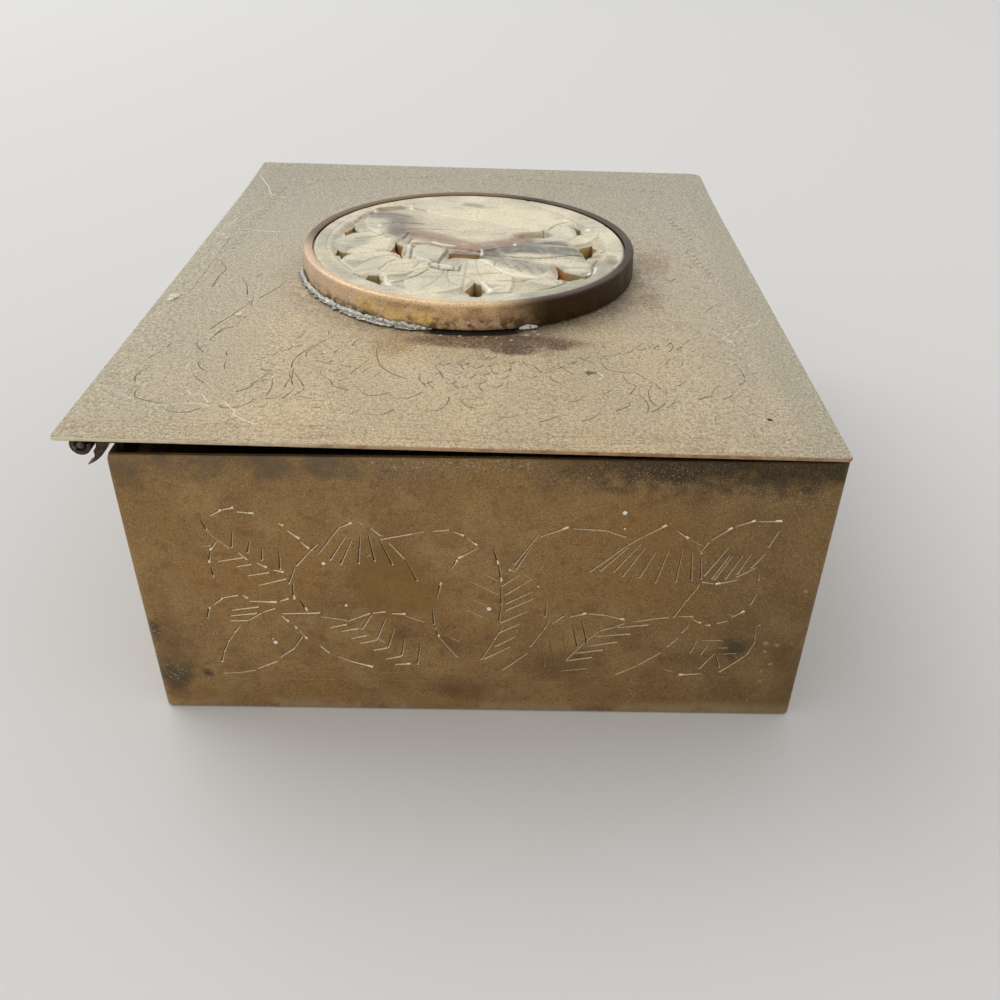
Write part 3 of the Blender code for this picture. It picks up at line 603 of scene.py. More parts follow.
class CaseOutline:
    """The case's outline unrolled: u runs anticlockwise from the near wall's left end."""

    def __init__(self):
        half_x = CASE_WIDTH / 2 - CORNER_RADIUS
        half_y = CASE_LENGTH / 2 - CORNER_RADIUS
        middle = (CASE_LOW + CASE_HIGH).to_2d() / 2
        self.centres = [
            middle + Vector((x * half_x, y * half_y)) for x, y in ((1, -1), (1, 1), (-1, 1), (-1, -1))
        ]
        self.straights = (2 * half_x, 2 * half_y) * 2
        self.bend = CORNER_RADIUS * math.pi / 2
        self.starts = [0.0]
        for straight in self.straights:
            self.starts.append(self.starts[-1] + straight + self.bend)

    def place(self, u, inward):
        """Point at u on the outline, moved inward."""
        u %= self.starts[-1]
        side = max(k for k in range(4) if u >= self.starts[k] - TINY)
        run = u - self.starts[side]
        turn = math.radians(90.0 * side - 90.0)
        past = run - self.straights[side]
        if past > 0.0:
            return self.centres[side] + direction(turn + past / CORNER_RADIUS) * (CORNER_RADIUS - inward)
        out = direction(turn)
        return self.centres[side - 1] + out * (CORNER_RADIUS - inward) + Vector((-out.y, out.x)) * run

    def bends_at(self, u):
        """True in a corner's arc, its ends included."""
        runs = [u - start - straight for start, straight in zip(self.starts, self.straights)]
        return any(-SEAM <= run <= self.bend + SEAM for run in runs) or u < SEAM

    def guides(self):
        """Values of u at which the outline bends or starts to follow a side's lean."""
        values = []
        for side, (start, straight) in enumerate(zip(self.starts, self.straights)):
            nears = [share * LEAN_REACH for share in (0.25, 0.5, 1.0)] if side % 2 == 0 else []
            values += [start] + [start + near for near in nears]
            values += [start + straight - near for near in reversed(nears)]
            values += [start + straight + self.bend * i / CORNER_PARTS for i in range(CORNER_PARTS)]
        return values + [self.starts[-1]]

    def wall(self, side):
        """Maps a drawing of a wall to u and height. The wall's left edge is the corner's far side."""
        start = self.starts[side] - CORNER_RADIUS
        return lambda p: (start + p[0], CASE_HEIGHT - p[1])


def wall_engraving(outline):
    engraving = Engraving()
    lengths = (CASE_WIDTH, CASE_LENGTH, CASE_WIDTH, CASE_LENGTH)
    for side, (length, layout) in enumerate(zip(lengths, (NEAR_FACE, LONG_FACE, FAR_FACE, LONG_FACE))):
        wall = outline.wall(side)
        for motif, shift, sign in layout:
            engraving.draw(motif, lambda p: wall((shift + sign * p[0], p[1])))
        engraving.cut(border_lines(BORDER, length, CASE_HEIGHT), SCRIBER, FAINT, place=wall)
    return engraving


def border_lines(insets, width, height):
    """Straight strokes along the four edges of a field."""
    for inset in insets:
        far, low = width - inset, height - inset
        yield from (
            (inset, inset, far, inset), (inset, low, far, low), (inset, inset, inset, low), (far, inset, far, low),
        )


def lean(x, y, z, inward):
    """A point of the case where the uneven hand-bent walls have it."""
    left = max(0.0, 1.0 - (x - CASE_LOW.x) / LEAN_REACH)
    right = max(0.0, 1.0 - (CASE_HIGH.x - x) / LEAN_REACH)
    moved = x - LEFT_LEAN * left * math.sqrt(1.0 - z / CASE_HEIGHT) + RIGHT_LEAN * right * z / CASE_HEIGHT
    if inward < SHEET / 2 and left > ROLL_START:
        near_rim = max(0.0, 1.0 - (CASE_HEIGHT - z) / ROLL_HEIGHT)
        moved += RIM_ROLL * near_rim ** 2 * (left - ROLL_START) / (1.0 - ROLL_START)
    return moved, y, z


def build_walls(material):
    outline = CaseOutline()
    engraving = wall_engraving(outline)
    guides = outline.guides()
    low, high = EDGE_ROUND, CASE_HEIGHT - EDGE_ROUND
    chains = [[Vector((u, low)), Vector((u, high))] for u in guides]
    chains += [[Vector((u, level)) for u in guides] for level in (low, *LEVELS, high)]
    flat, faces = triangulate(chains + engraving.lines())
    depth, marks = engraving.relief(flat)
    lit = engraving.lit(flat, faces)

    # The points at the drawing's right end are those at its left end
    seam = {round(v, 3): i for i, (u, v) in enumerate(flat) if u < SEAM}
    same = {i: seam[round(v, 3)] for i, (u, v) in enumerate(flat) if u > outline.starts[-1] - SEAM}
    faces = [tuple(same.get(i, i) for i in face) for face in faces]
    whole = [k for k, face in enumerate(faces) if len(set(face)) == len(face)]
    faces = [faces[k] for k in whole]
    smooth = [all(outline.bends_at(flat[i][0]) for i in face) for face in faces]

    places = [lean(*outline.place(u, d), v, 0.0) for (u, v), d in zip(flat, depth)]
    ring_us = guides[:-1]
    profile = (
        (CASE_HEIGHT, EDGE_ROUND), (CASE_HEIGHT, SHEET - EDGE_ROUND), (high, SHEET),
        (low, SHEET), (0.0, SHEET - EDGE_ROUND), (0.0, EDGE_ROUND),
    )
    rings = [add_ring(places, [lean(*outline.place(u, d), level, d) for u in ring_us]) for level, d in profile]
    upper, lower = (indices(flat, [(u, level) for u in ring_us]) for level in (high, low))
    faces += bands([upper, *rings, lower])
    make_piece(
        "engraved_walls", places, faces, material, "case", ["wall_band"], marks,
        smooth=smooth, lit=lit[whole],
    )


# The lid's engraving. The flat numbers are pairs, in millimetres from its hinge edge and its far edge.

LID_LINES = (
    (5.9, 105.4, 5, 106.2, 4.6, 107.6, 4.6, 109, 5.1, 110.1),
    (6.2, 111.3, 6, 113, 6.5, 114.5, 8, 115.3, 9.6, 115.8, 10.4, 115.8),
    (10.4, 116.8, 11.3, 117.6, 12.5, 118.3, 14.3, 118.3, 15.8, 117), (7.9, 96.2, 6.3, 97.5, 6.1, 98.9),
    (5.9, 100.2, 5, 101.3, 4.5, 102.6), (12.2, 102, 11.9, 103.5, 12.3, 104.8, 13.3, 106),
    (15.6, 103, 15.7, 104.3, 16, 105.5), (12.4, 107.6, 13, 108.6, 14.3, 109.8), (14, 91, 12.5, 91.7, 12.2, 93.4),
    (11.9, 94.3, 11.5, 95.5, 11.6, 96.3), (9.9, 96, 10, 97.5, 10.8, 99, 11.7, 100.2), (11.4, 97.8, 10.8, 99),
    (14.9, 99.5, 15.2, 101), (29.8, 93, 28.6, 95, 27.2, 97, 26.1, 99, 25.4, 100.8, 25.1, 103, 25.3, 104.5),
    (27.5, 97, 26.6, 99, 26.7, 100.7), (28.4, 91.2, 28.8, 92.7), (25, 91, 24.8, 93, 24.2, 94.4),
    (31.7, 97, 31, 98, 30.6, 99.4), (33.9, 93.9, 33.2, 95, 33, 96.6),
    (36.4, 94.3, 36.9, 96, 36.8, 98, 37.6, 102, 38.6, 104, 40, 105.5, 42.2, 107), (36.1, 101.1, 34.8, 104, 33.8, 106),
    (36.4, 103.8, 35.6, 105.4), (38.2, 105, 37.5, 106.6),
    (22.4, 106.1, 21.5, 108.2, 20.9, 109.6, 20.8, 110.8, 19.2, 112.3), (20.8, 109.6, 22.5, 108.3),
    (20.9, 104.6, 21.3, 105.4, 22.8, 105.6), (23.2, 107.8, 23.7, 110.5, 23.5, 113.1),
    (25.2, 106, 25.7, 107.5, 25.5, 109.5, 25.6, 110.6), (25.6, 104.5, 26, 108, 26.5, 109.8),
    (26, 106, 27.3, 108.4, 28, 110), (27, 110.5, 26.6, 112, 25.8, 113.8), (25.6, 112.3, 25, 113.6, 23.5, 114),
    (28.4, 111, 27.3, 112.7), (28, 113, 29.8, 113.6), (22.3, 113.7, 21.7, 115.3, 20.6, 116.4, 18.9, 116.9, 18, 116.4),
    (29.5, 105, 30, 106.5, 31.4, 108, 32.3, 109.8, 34.5, 110.8), (36, 111, 37, 112, 38.6, 112.2, 40.3, 111.2),
    (40.6, 112.7, 42.4, 112.9, 43.8, 112, 44.7, 110.9), (32.3, 103.3, 33.8, 103.8),
    (37.3, 117.6, 39.3, 117.7, 40.6, 117, 41.4, 115.8), (30.2, 116.1, 31.5, 116), (36.8, 116.5, 35.5, 117.7),
    (45.2, 116.2, 47, 116, 48, 115, 48.5, 113.3, 48.5, 112), (43.9, 105, 44, 107, 45, 108.9),
    (45.3, 107.3, 45.4, 108.4, 46.2, 109.5), (46.7, 101.5, 46, 102.8, 46.8, 104.6, 47.3, 106.2, 48.4, 106.8),
    (49.2, 107.2, 49, 108.4, 49.7, 109.6), (49.8, 101, 49.7, 102.3, 50.2, 103.5), (50, 112.5, 50.9, 114.5, 52, 115),
    (58.7, 99.7, 58.9, 101, 59.5, 101.8), (60.3, 101.5, 60.9, 102.9, 61.6, 103.6), (62.5, 105, 63, 106.1, 63.8, 106.9),
    (63.8, 101, 65, 102.8, 66, 104), (66, 100, 66.7, 101.2, 67.8, 101.7), (67, 98.4, 68, 99.4, 69.2, 100),
    (70.4, 100, 70.8, 101.5, 71.8, 102.7, 74.5, 103.2), (70.9, 93.8, 71.4, 95), (77.4, 92.5, 76.5, 94.2),
    (79.6, 93.5, 78.8, 95), (81.8, 90.5, 81.2, 92), (81.6, 92, 81.9, 94, 81, 95.8), (85, 91, 82.3, 95),
    (80.9, 97.9, 80, 100), (82.9, 98, 82.3, 100.5), (84.9, 100.5, 84.8, 101.5),
    (73.4, 104, 73.4, 105.2, 74, 106.5, 74.8, 107.2, 74.4, 108.5, 73.6, 110),
    (74.8, 109.8, 75.7, 111.5, 75.9, 113.5, 75.6, 115), (77.5, 106, 77, 107.5, 76.4, 109, 76.4, 111.5, 77, 113),
    (77.6, 106.2, 78.3, 108.2), (78.5, 111.5, 78, 113, 76.2, 114.8), (79.9, 110.5, 79.6, 112, 78.5, 113.5),
    (78.9, 108.2, 79, 109.3), (75, 102.8, 76.5, 105), (73.6, 111.8, 73.2, 113.3, 71.3, 114.8),
    (71.6, 108, 70.8, 109.3, 69.9, 109.9), (67.3, 110.5, 66.4, 112, 65, 112.6),
    (69.2, 115.3, 68.2, 116.8, 66.5, 117.9), (63.6, 116.2, 62.5, 117.5, 60.8, 118.4),
    (58.2, 116.5, 56.8, 117.3, 55.4, 117.2), (52.9, 107.4, 52.6, 108.8, 53.1, 110), (57, 102, 56.9, 103.5),
    (58.8, 104, 58.7, 105.3), (54.2, 102.5, 54.3, 104, 55, 105), (56.6, 107, 56.6, 108),
    (82.4, 105, 81.5, 106.3, 80.4, 107), (87, 106.3, 85.9, 107.6, 85.2, 109.6, 84.4, 110.1, 83.2, 110.9),
    (88.9, 107.6, 88.3, 109.5, 86.8, 110.4), (91.6, 104.6, 90, 106.2), (91.2, 101, 91.5, 103.5),
    (84.9, 115, 84.6, 116.7), (92.8, 48.8, 91.3, 50, 90.3, 52.2), (89.4, 58, 90.2, 60), (83, 66, 85, 66.5, 86.3, 65.2),
    (92.6, 76, 90.5, 78.5, 89.4, 80.2), (4.5, 62, 6, 64.8, 6.8, 67, 6.4, 70, 6.5, 75), (10.3, 70, 12, 74, 13, 78),
    (13.3, 68, 12.9, 70), (18, 71, 17.5, 74, 16, 77.5, 15.2, 79.3),
    (14.1, 78.5, 14.3, 80.5, 13.3, 84, 12.3, 87, 11.2, 90, 10.6, 92), (14.3, 80.5, 14.6, 82.5),
    (14.2, 88, 14, 90.5, 12.3, 92, 11.8, 94.5),
)

# White scrapes, in the same form but not moved on
LID_SCRAPES = (
    (3.5, 113.3, 4.9, 113.6, 5.5, 114.5, 6.5, 114.8), (9, 116.6, 12, 116.5, 14, 115.9, 16, 115.8, 17.5, 116.6),
    (13, 112, 14, 113, 13.6, 113.4, 15.5, 113, 16.2, 114.2, 17, 115.5),
    (19, 115, 20, 116.3, 21, 117.5, 21, 118.5, 22.8, 119.8, 24.5, 121, 25, 120.5),
    (90.9, 90.5, 91.8, 89.4, 92.4, 88.4, 93.3, 88.3, 93.8, 87.2),
    (94.4, 86, 95.6, 85.7, 96.4, 85, 97.6, 84.3, 98.4, 82.6), (91.4, 91, 92.3, 91.8), (31.9, 98.6, 32.2, 97.6),
    (0.3, 47.4, 2.5, 48.9, 4.9, 47, 7.5, 45.6, 12.6, 46.3), (29.7, 98.9, 30.3, 99.3, 30.9, 99.2),
    (34.9, 119.4, 35.2, 118.3, 35.8, 117.4), (67, 101, 68.2, 101.6, 69, 102.5), (70.5, 103, 71.2, 104.5, 70.5, 105.5),
    (91.6, 90.6, 92.4, 91.9), (0.6, 9.7, 3.8, 16.4, 5.8, 22.6, 9.3, 24.6), (0.8, 46.1, 2.5, 38.6, 6.3, 31.1),
    (2.7, 58, 3, 59.3),
)

LID_SCALES = (                  # rows of small fish-scale cuts: first place, last place, how many
    ((91.2, 53.5), (93, 64), 7), ((89, 30), (92, 44), 8), ((7, 18), (5, 56), 16), ((14, 12), (40, 7), 12),
    ((58, 7), (88, 13), 14), ((45.1, 107.8), (47.2, 101.8), 3), ((48.5, 107.6), (50, 101.6), 3),
    ((50.2, 108.6), (53, 99.4), 4), ((52.7, 107.3), (54.5, 96.6), 5), ((55, 108.3), (57.5, 98), 5),
    ((60, 105.2), (68, 98.5), 5), ((70.5, 98), (81, 92.8), 6), ((20, 101.5), (24.5, 97), 4),
    ((28.5, 99.5), (33, 107.5), 4),
)

LID_BORDER = (4.4, 6.4)
LID_LUMPS = (                   # drips of solder and dirt: place, radius, height
    ((13.7, 86.3), 0.75, 0.35), ((14.4, 86.8), 0.45, 0.25), ((1.5, 79.6), 1.05, 0.35), ((1.2, 80.9), 0.7, 0.25),
    ((7.2, 73.9), 0.35, 0.15), ((3, 50.6), 0.5, 0.2),
)


def lid_point(across, down):
    """A point of the lid's drawing, on its top face in the lid's frame."""
    across += LID_INSET + np.interp(across, *LID_SHIFT)
    return Vector((LID_LEFT + across, LID_LENGTH / 2 - down, LID_TOP))


def lid_engraving():
    """The drawing turned to the lid's frame, whose Y runs away from the viewer."""
    engraving = Engraving()

    def place(p):
        return lid_point(*p).to_2d()

    def fixed(p):
        return Vector((LID_LEFT + LID_INSET + p[0], LID_LENGTH / 2 - p[1]))

    engraving.cut(LID_LINES, NEEDLE, place=place)
    engraving.chain(LID_SCRAPES, SCRAPE, 0.9, "scratch", fixed)
    for first, last, count in LID_SCALES:
        for i in range(count):
            x, y = Vector(first).lerp(Vector(last), i / (count - 1))
            engraving.cut([(x - 0.8, y - 0.1, x - 0.1, y + 0.6, x + 0.9, y - 0.4)], NEEDLE, 0.8, place=place)
    border = border_lines(LID_BORDER, LID_WIDTH, LID_LENGTH)
    engraving.cut(border, SCRIBER, FAINT / 2, place=lambda p: Vector((LID_LEFT + p[0], LID_LENGTH / 2 - p[1])))
    engraving.lumps = [(place(centre), radius, height) for centre, radius, height in LID_LUMPS]
    return engraving


def warp(p, level):
    """A point of the lid sheet, whose far edge is bent up."""
    bend = max(0.0, (p[1] - WARP_LINES[0]) / (LID_LENGTH / 2 - WARP_LINES[0]))
    return p[0], p[1], level + LID_WARP * bend ** 2


def build_lid_plate(material):
    engraving = lid_engraving()
    middle = Vector((LID_LEFT + LID_WIDTH / 2, 0.0))
    outline = rounded_rectangle(LID_WIDTH, LID_LENGTH, LID_CORNER_RADII, EDGE_STEP)

    def ring(inset):
        shrink = Vector((1 - 2 * inset / LID_WIDTH, 1 - 2 * inset / LID_LENGTH))
        return [middle + p * shrink for p in outline]

    def wave(p):
        return EDGE_WAVE * abs(uneven(p.x, p.y, 0.0, 0.13) + 0.6 * uneven(p.x, p.y, 9.0, 0.6))

    top_edge = ring(EDGE_ROUND * 1.6)
    under_edge = ring(EDGE_ROUND)
    bends = [[Vector((LID_LEFT + share * LID_WIDTH, line)) for share in (0.01, 0.99)] for line in WARP_LINES]
    flat, faces = triangulate([closed(top_edge)] + bends + engraving.lines())
    depth, marks = engraving.relief(flat)
    lit = engraving.lit(flat, faces)
    smooth = [False] * len(faces)
    places = [warp(p, LID_TOP - d) for p, d in zip(flat, depth)]
    bottom = LID_TOP - LID_SHEET
    rings = [indices(flat, top_edge)]
    for inset, level, unevenness in (
        (EDGE_ROUND * 0.5, LID_TOP - EDGE_ROUND * 0.5, 1.0), (0.0, LID_TOP - EDGE_ROUND * 1.5, 1.0),
        (EDGE_DRAFT, bottom + EDGE_ROUND, 0.0), (EDGE_ROUND, bottom, 0.0),
    ):
        rings.append(add_ring(places, [warp(p, level - unevenness * wave(p)) for p in ring(inset)]))
    faces += bands(rings)
    # The edge rings are marked for the painted highlight along the lid's rounded edge
    marks["edge"] = [0.0] * len(flat) + [1.0] * 3 * len(outline)
    under, under_faces = triangulate([closed(under_edge)] + bends)
    beneath = list(add_ring(places, [warp(p, bottom) for p in under]))
    for i, joined in zip(indices(under, under_edge), rings[-1]):
        beneath[i] = joined
    faces += [tuple(beneath[i] for i in face) for face in under_faces]
    make_piece(
        "engraved_lid", places, faces, material, "lid", ["lid_plate"], marks, LID_FRAME,
        smooth=smooth, lit=lit,
    )


# Medallion. The flat numbers are pairs, in millimetres from its middle, seen from above.

FRUIT = (
    -20.5, 12, -18, 4.5, -10, -0.5, -3.5, -3.4, 1.5, -4, 7, -1.6, 14, 1, 19, 4.5, 20, 12.5, 13.5, 20.5, 3.5, 25, -7.5,
    24.5, -16.5, 19,
)

# Each leaf: stalk end, tip, greatest half width, sideways bow
LEAVES = (
    ((-13, 3.5), (-24.5, -1), 4.8, 1.2), ((-8.5, -4), (-23, -9.5), 5, -1), ((-6, -9.5), (-19.5, -16.5), 4.8, -0.8),
    ((-3.5, -12.5), (-8.5, -24.5), 5.4, 1), ((1.5, -8), (6.5, -24.5), 5.6, -1.5), ((5, -9), (16, -19.5), 4.6, 1.4),
    ((6, -7), (23, -11), 5, -1.6), ((4.5, -3.5), (21.5, -2.5), 4.2, -0.6), ((17, 0.5), (24, 10), 3.4, 0.6),
)

# Facets and twigs: outline and height above the background
BLOCKS = (
    ((-9.6, -1.9, -3.7, -3.4, -4.9, -9.8, -6.6, -9.2, -9.6, -8.4), 0.74),
    ((-11.3, -1.2, -10.1, -1.6, -9.9, -8.6, -11, -8.2), 0.7),
    ((-6.4, -10.9, -5, -10.6, -1.2, -12, -1, -13.9, -4.4, -13.4, -6.2, -12), 0.74),
)

PIERCINGS = (
    (-21.9, 8.8, -23.4, 5, -23, 2.8, -22.2, 4.4, -20.7, 5.5),
    (-23.3, -3.8, -23.4, -6.4, -21.6, -9.6, -21.2, -7.6, -20.3, -6.6),
    (-13.4, 0.6, -13.8, -4.8, -11.3, -8.3, -11.6, -2.4),
    (-16.1, -16.3, -17, -17.8, -13.4, -21.1, -13.6, -18.2, -14.4, -16.2),
    (1.5, -18.3, 0, -22, 1.4, -24.9, 2.4, -24.9, 3.5, -22.5, 2.7, -19.4),
    (15, -9.8, 15.2, -16.2, 18.2, -16.4, 20.2, -15.4, 20.5, -14.2, 16.5, -12.4),
    (19.2, -0.4, 19.6, -2.6, 20.5, -6.4, 21.8, -4.2, 22.9, -1, 22.1, 1.7),
    (18.7, 10.8, 19.6, 6.2, 20.6, 6.8, 20.6, 9.4), (-3.7, -4.3, -3.6, -7.2, -2.6, -6.4, 2.2, -7, 2.1, -4.8),
)
POCKET = (8.5, 3.4, 9.6, 6.0, 13.7, 7.3, 13.8, 3.2)    # a blind hollow in the fruit
POCKET_DEPTH = 0.9

# Incised lines of the carving: points, half width, depth
INCISED = (
    ((-20.5, 0.8, -18, 1.6, -15.8, 3.7), 0.3, 0.16), ((-16.6, 8.7, -15, 9.4, -12.8, 9.6, -9, 9.2), 0.34, 0.2),
    ((-12.5, 5.5, -10.4, 6.4, -8.4, 6.6, -5.4, 6.5), 0.34, 0.16), ((-11.3, 4.2, -12, 1.2), 0.34, 0.32),
    ((-10.5, 1, -11.2, -0.8), 0.3, 0.3), ((-10, -0.6, -7, -1.2, -4.6, -2.6, -1.8, -3.3, 2.2, -3.9), 0.34, 0.26),
    ((3, -5.4, 7, -6.4, 11.9, -6.9, 15.5, -6, 19.6, -4.5), 0.3, 0.26), ((6, -7.6, 10.5, -8.8), 0.3, 0.14),
    ((-6.4, -10.6, -6.2, -12, -4.4, -13.5, -1.2, -14), 0.24, 0.3), ((-4.9, -10.9, -4.6, -12.9), 0.2, 0.2),
    ((-2.2, -11.3, -2.1, -13.7), 0.22, 0.24), ((-1, -11, -1.2, -14), 0.22, 0.24),
    ((-12, -19.4, -8.6, -17, -6.4, -13.4), 0.26, 0.24), ((-12.2, -9, -13.4, -10.7, -14.6, -14.2), 0.28, 0.16),
    ((22.5, -6.6, 21.5, -10, 21.2, -13.6, 19.6, -16.6), 0.3, 0.3),
    ((17.2, -17.2, 14.9, -20.1, 10.8, -22.2, 4.6, -23.4), 0.32, 0.3),
    ((5.2, -18.2, 8, -17.8, 10.8, -16.9), 0.22, 0.14), ((0.8, -15.1, 6, -14.8), 0.25, 0.1),
    ((-18.4, -17, -16.6, -18.4), 0.3, 0.2), ((-3.8, -3.8, -4.4, -7, -4.9, -9.8), 0.24, 0.34),
    ((-9.8, -2, -9.9, -8.6), 0.22, 0.34), ((-8, -10.2, -9, -13), 0.25, 0.14), ((0, -9.6, -0.4, -24), 0.22, 0.1),
    ((14.2, 7.2, 15.8, 10.6, 18, 12.8), 0.3, 0.16), ((-20.8, 13.7, -21.9, 10.2), 0.4, 0.14),
    ((-19.5, 14.5, -16, 14.6, -12, 13.2), 0.4, 0.14), ((-9, 16.8, -12.6, 19.4), 0.25, 0.22),
    ((13.4, 3.4, 13.5, 7.4), 0.3, 0.3), ((-23, 13, -25, 6, -25.4, -2, -23.6, -9), 0.22, 0.08),
)

# Thin painted highlights on low ridges, in the same form but for a strength
LIGHTS = (
    ((-6.6, -0.4, -4.9, -1.5, -2.4, -2.2), 0.22, 1), ((2.3, -3.6, 2.3, -4.9), 0.24, 1),
    ((-8.6, -8.4, -6.4, -9.6), 0.22, 0.8), ((-5.6, -11.2, -3, -12.2), 0.24, 0.7), ((-9.7, -3, -9.4, -8), 0.2, 0.6),
    ((2.2, -8.1, 4.9, -11.9, 7.2, -14.5, 11.6, -16), 0.28, 1), ((2.9, -18.6, 3.5, -20.6, 4.3, -22.2), 0.34, 1),
    ((4.3, -21.9, 5.8, -20.7), 0.22, 0.7), ((21.9, -11.4, 21.4, -13.6), 0.26, 1),
    ((27.3, -4.2, 27.2, -6, 26.2, -8.6, 25.3, -10.8), 0.2, 0.8), ((-13.2, -17, -12.8, -19.6, -11.8, -18.6), 0.3, 0.9),
    ((-21.6, -9.8, -20.4, -11.8, -18.7, -14.2), 0.24, 0.5), ((-13.2, -10.9, -14.2, -14), 0.22, 0.5),
    ((19.8, -4.8, 15.6, -6.5), 0.2, 0.4), ((-12.4, 20.2, -12, 17.6), 0.28, 0.9),
)

# Colour patches of the stone: path, full out to here, gone from here, strength
STAINS = {
    "pink": (
        ((-13, 5.2, -9, 3.4, -3, -0.6, 1.5, -2.6, 7.5, 0.2, 9.5, 2.4), 1, 3.6, 1),
        ((-17.5, 15.5, -13, 12.5, -11.5, 8.5), 0.8, 3.4, 0.55), ((-2, -4.8, 2, -5.2), 0.8, 1.8, 1),
        ((19.6, -4.3, 22.2, -4.6), 0.5, 1.5, 0.8), ((16, -16.9, 17.6, -17), 0.3, 1, 0.7),
    ),
    "grey": (
        ((3.5, -4.8, 8.5, -2.4, 13, -2.8, 17.5, -3), 1.4, 3.2, 1), ((11, 0.4, 16.4, 0.6), 0.6, 2.2, 0.9),
        ((-18.4, 14, -14, 12.4, -13.6, 5, -11.8, 2.4), 0.8, 3.4, 0.8), ((6, -8.6, 12, -11, 15, -11.6), 0.8, 3, 0.55),
        ((23.4, -9, 22.4, -14, 17, -20, 11, -24.6), 1.2, 3.4, 0.55), ((-26.4, 4, -25.4, -8, -19, -18.6), 0.4, 2, 0.35),
        ((-20.8, -4, -19, 1.4), 0.4, 2.4, 0.35),
    ),
    "brown": (
        ((-1.4, 21.8, 0.8, 21.2), 0.4, 1.7, 0.65), ((-17.8, 17.2, -14.2, 18.6), 0.7, 1.6, 1),
        ((9.4, 4.2, 13.2, 5), 1.2, 2.2, 0.8), ((24.9, -6, 25.2, -8.8), 0.4, 1.5, 0.6),
        ((-3.6, -6, 2, -6.2), 0.5, 1.2, 0.9),
    ),
}

# Families of like cuts: the first, the last, how many. Short ones on the right leaf, long ones over the fruit
HATCH = ((7.4, -12.0, 9.4, -9.4), (12.0, -14.8, 14.4, -11.4), 11)
STREAKS = ((-11.0, 17.0, -3.0, 12.4, 8.0, 8.6), (-18.5, 7.4, -12.0, 4.0, -5.0, 0.4), 12)
CHIPS = (
    (-18.9, 16.1, 0.4), (10.8, 25.4, 0.7), (-17.2, 7.8, 0.5), (17.7, 13.6, 0.5), (-12.4, -20.4, 0.9), (4, -22.2, 0.5),
    (20.6, -13.6, 0.35), (21.8, 8.7, 0.6), (11.5, -26, 0.45), (8.1, -0.4, 0.5), (25.3, 10.6, 0.4), (23.4, -1.4, 0.4),
    (-8.8, 17.8, 0.4), (-23.2, 3.4, 0.4),
)


def leaf_middle(stalk, tip, bow, parts):
    """Points along a leaf's bowed middle line, and the direction across it."""
    along = Vector(tip) - Vector(stalk)
    side = Vector((-along.y, along.x)).normalized()
    shares = [i / parts for i in range(parts + 1)]
    return shares, [Vector(stalk) + along * t + side * (bow * math.sin(math.pi * t)) for t in shares], side


def leaf_loop(stalk, tip, half_width, bow):
    shares, middle, side = leaf_middle(stalk, tip, bow, 16)
    spreads = [side * (half_width * max(0.05, math.sin(math.pi * t ** 0.8) ** 0.75)) for t in shares]
    left, right = ([p + spread * sign for p, spread in zip(middle, spreads)] for sign in (1, -1))
    return left + right[::-1]


def groove(points, path, half_width):
    """1 on the path, falling to 0 at the given distance."""
    return np.clip(1.0 - distance_to(points, path) / half_width, 0.0, 1.0)


def family(first, last, count):
    """Evenly spaced paths from the first to the last."""
    for i in range(count):
        yield [a.lerp(b, i / (count - 1)) for a, b in zip(pairs(first), pairs(last))]


def raise_form(points, loop, height, masks, level, bevel, darkening):
    """Lay a form over what is there: its level, a cut edge, dirt and painted shade at its foot and a painted highlight
    a little inside its edge.
    """
    edge = distance_to(points, closed(loop))
    within = inside(points, loop)
    height[:] = np.where(within, level - FORM_EDGE * fall(edge, 0.0, bevel), height)
    masks["dirt_and_shade"][:] = np.where(within, darkening * fall(edge, 0.0, FORM_DIRT_AND_SHADE), masks["dirt_and_shade"])
    near, far, strength = FORM_LIGHT
    masks["light"][:] = np.where(within, strength * step(edge, *near) * fall(edge, *far), masks["light"])
    return within


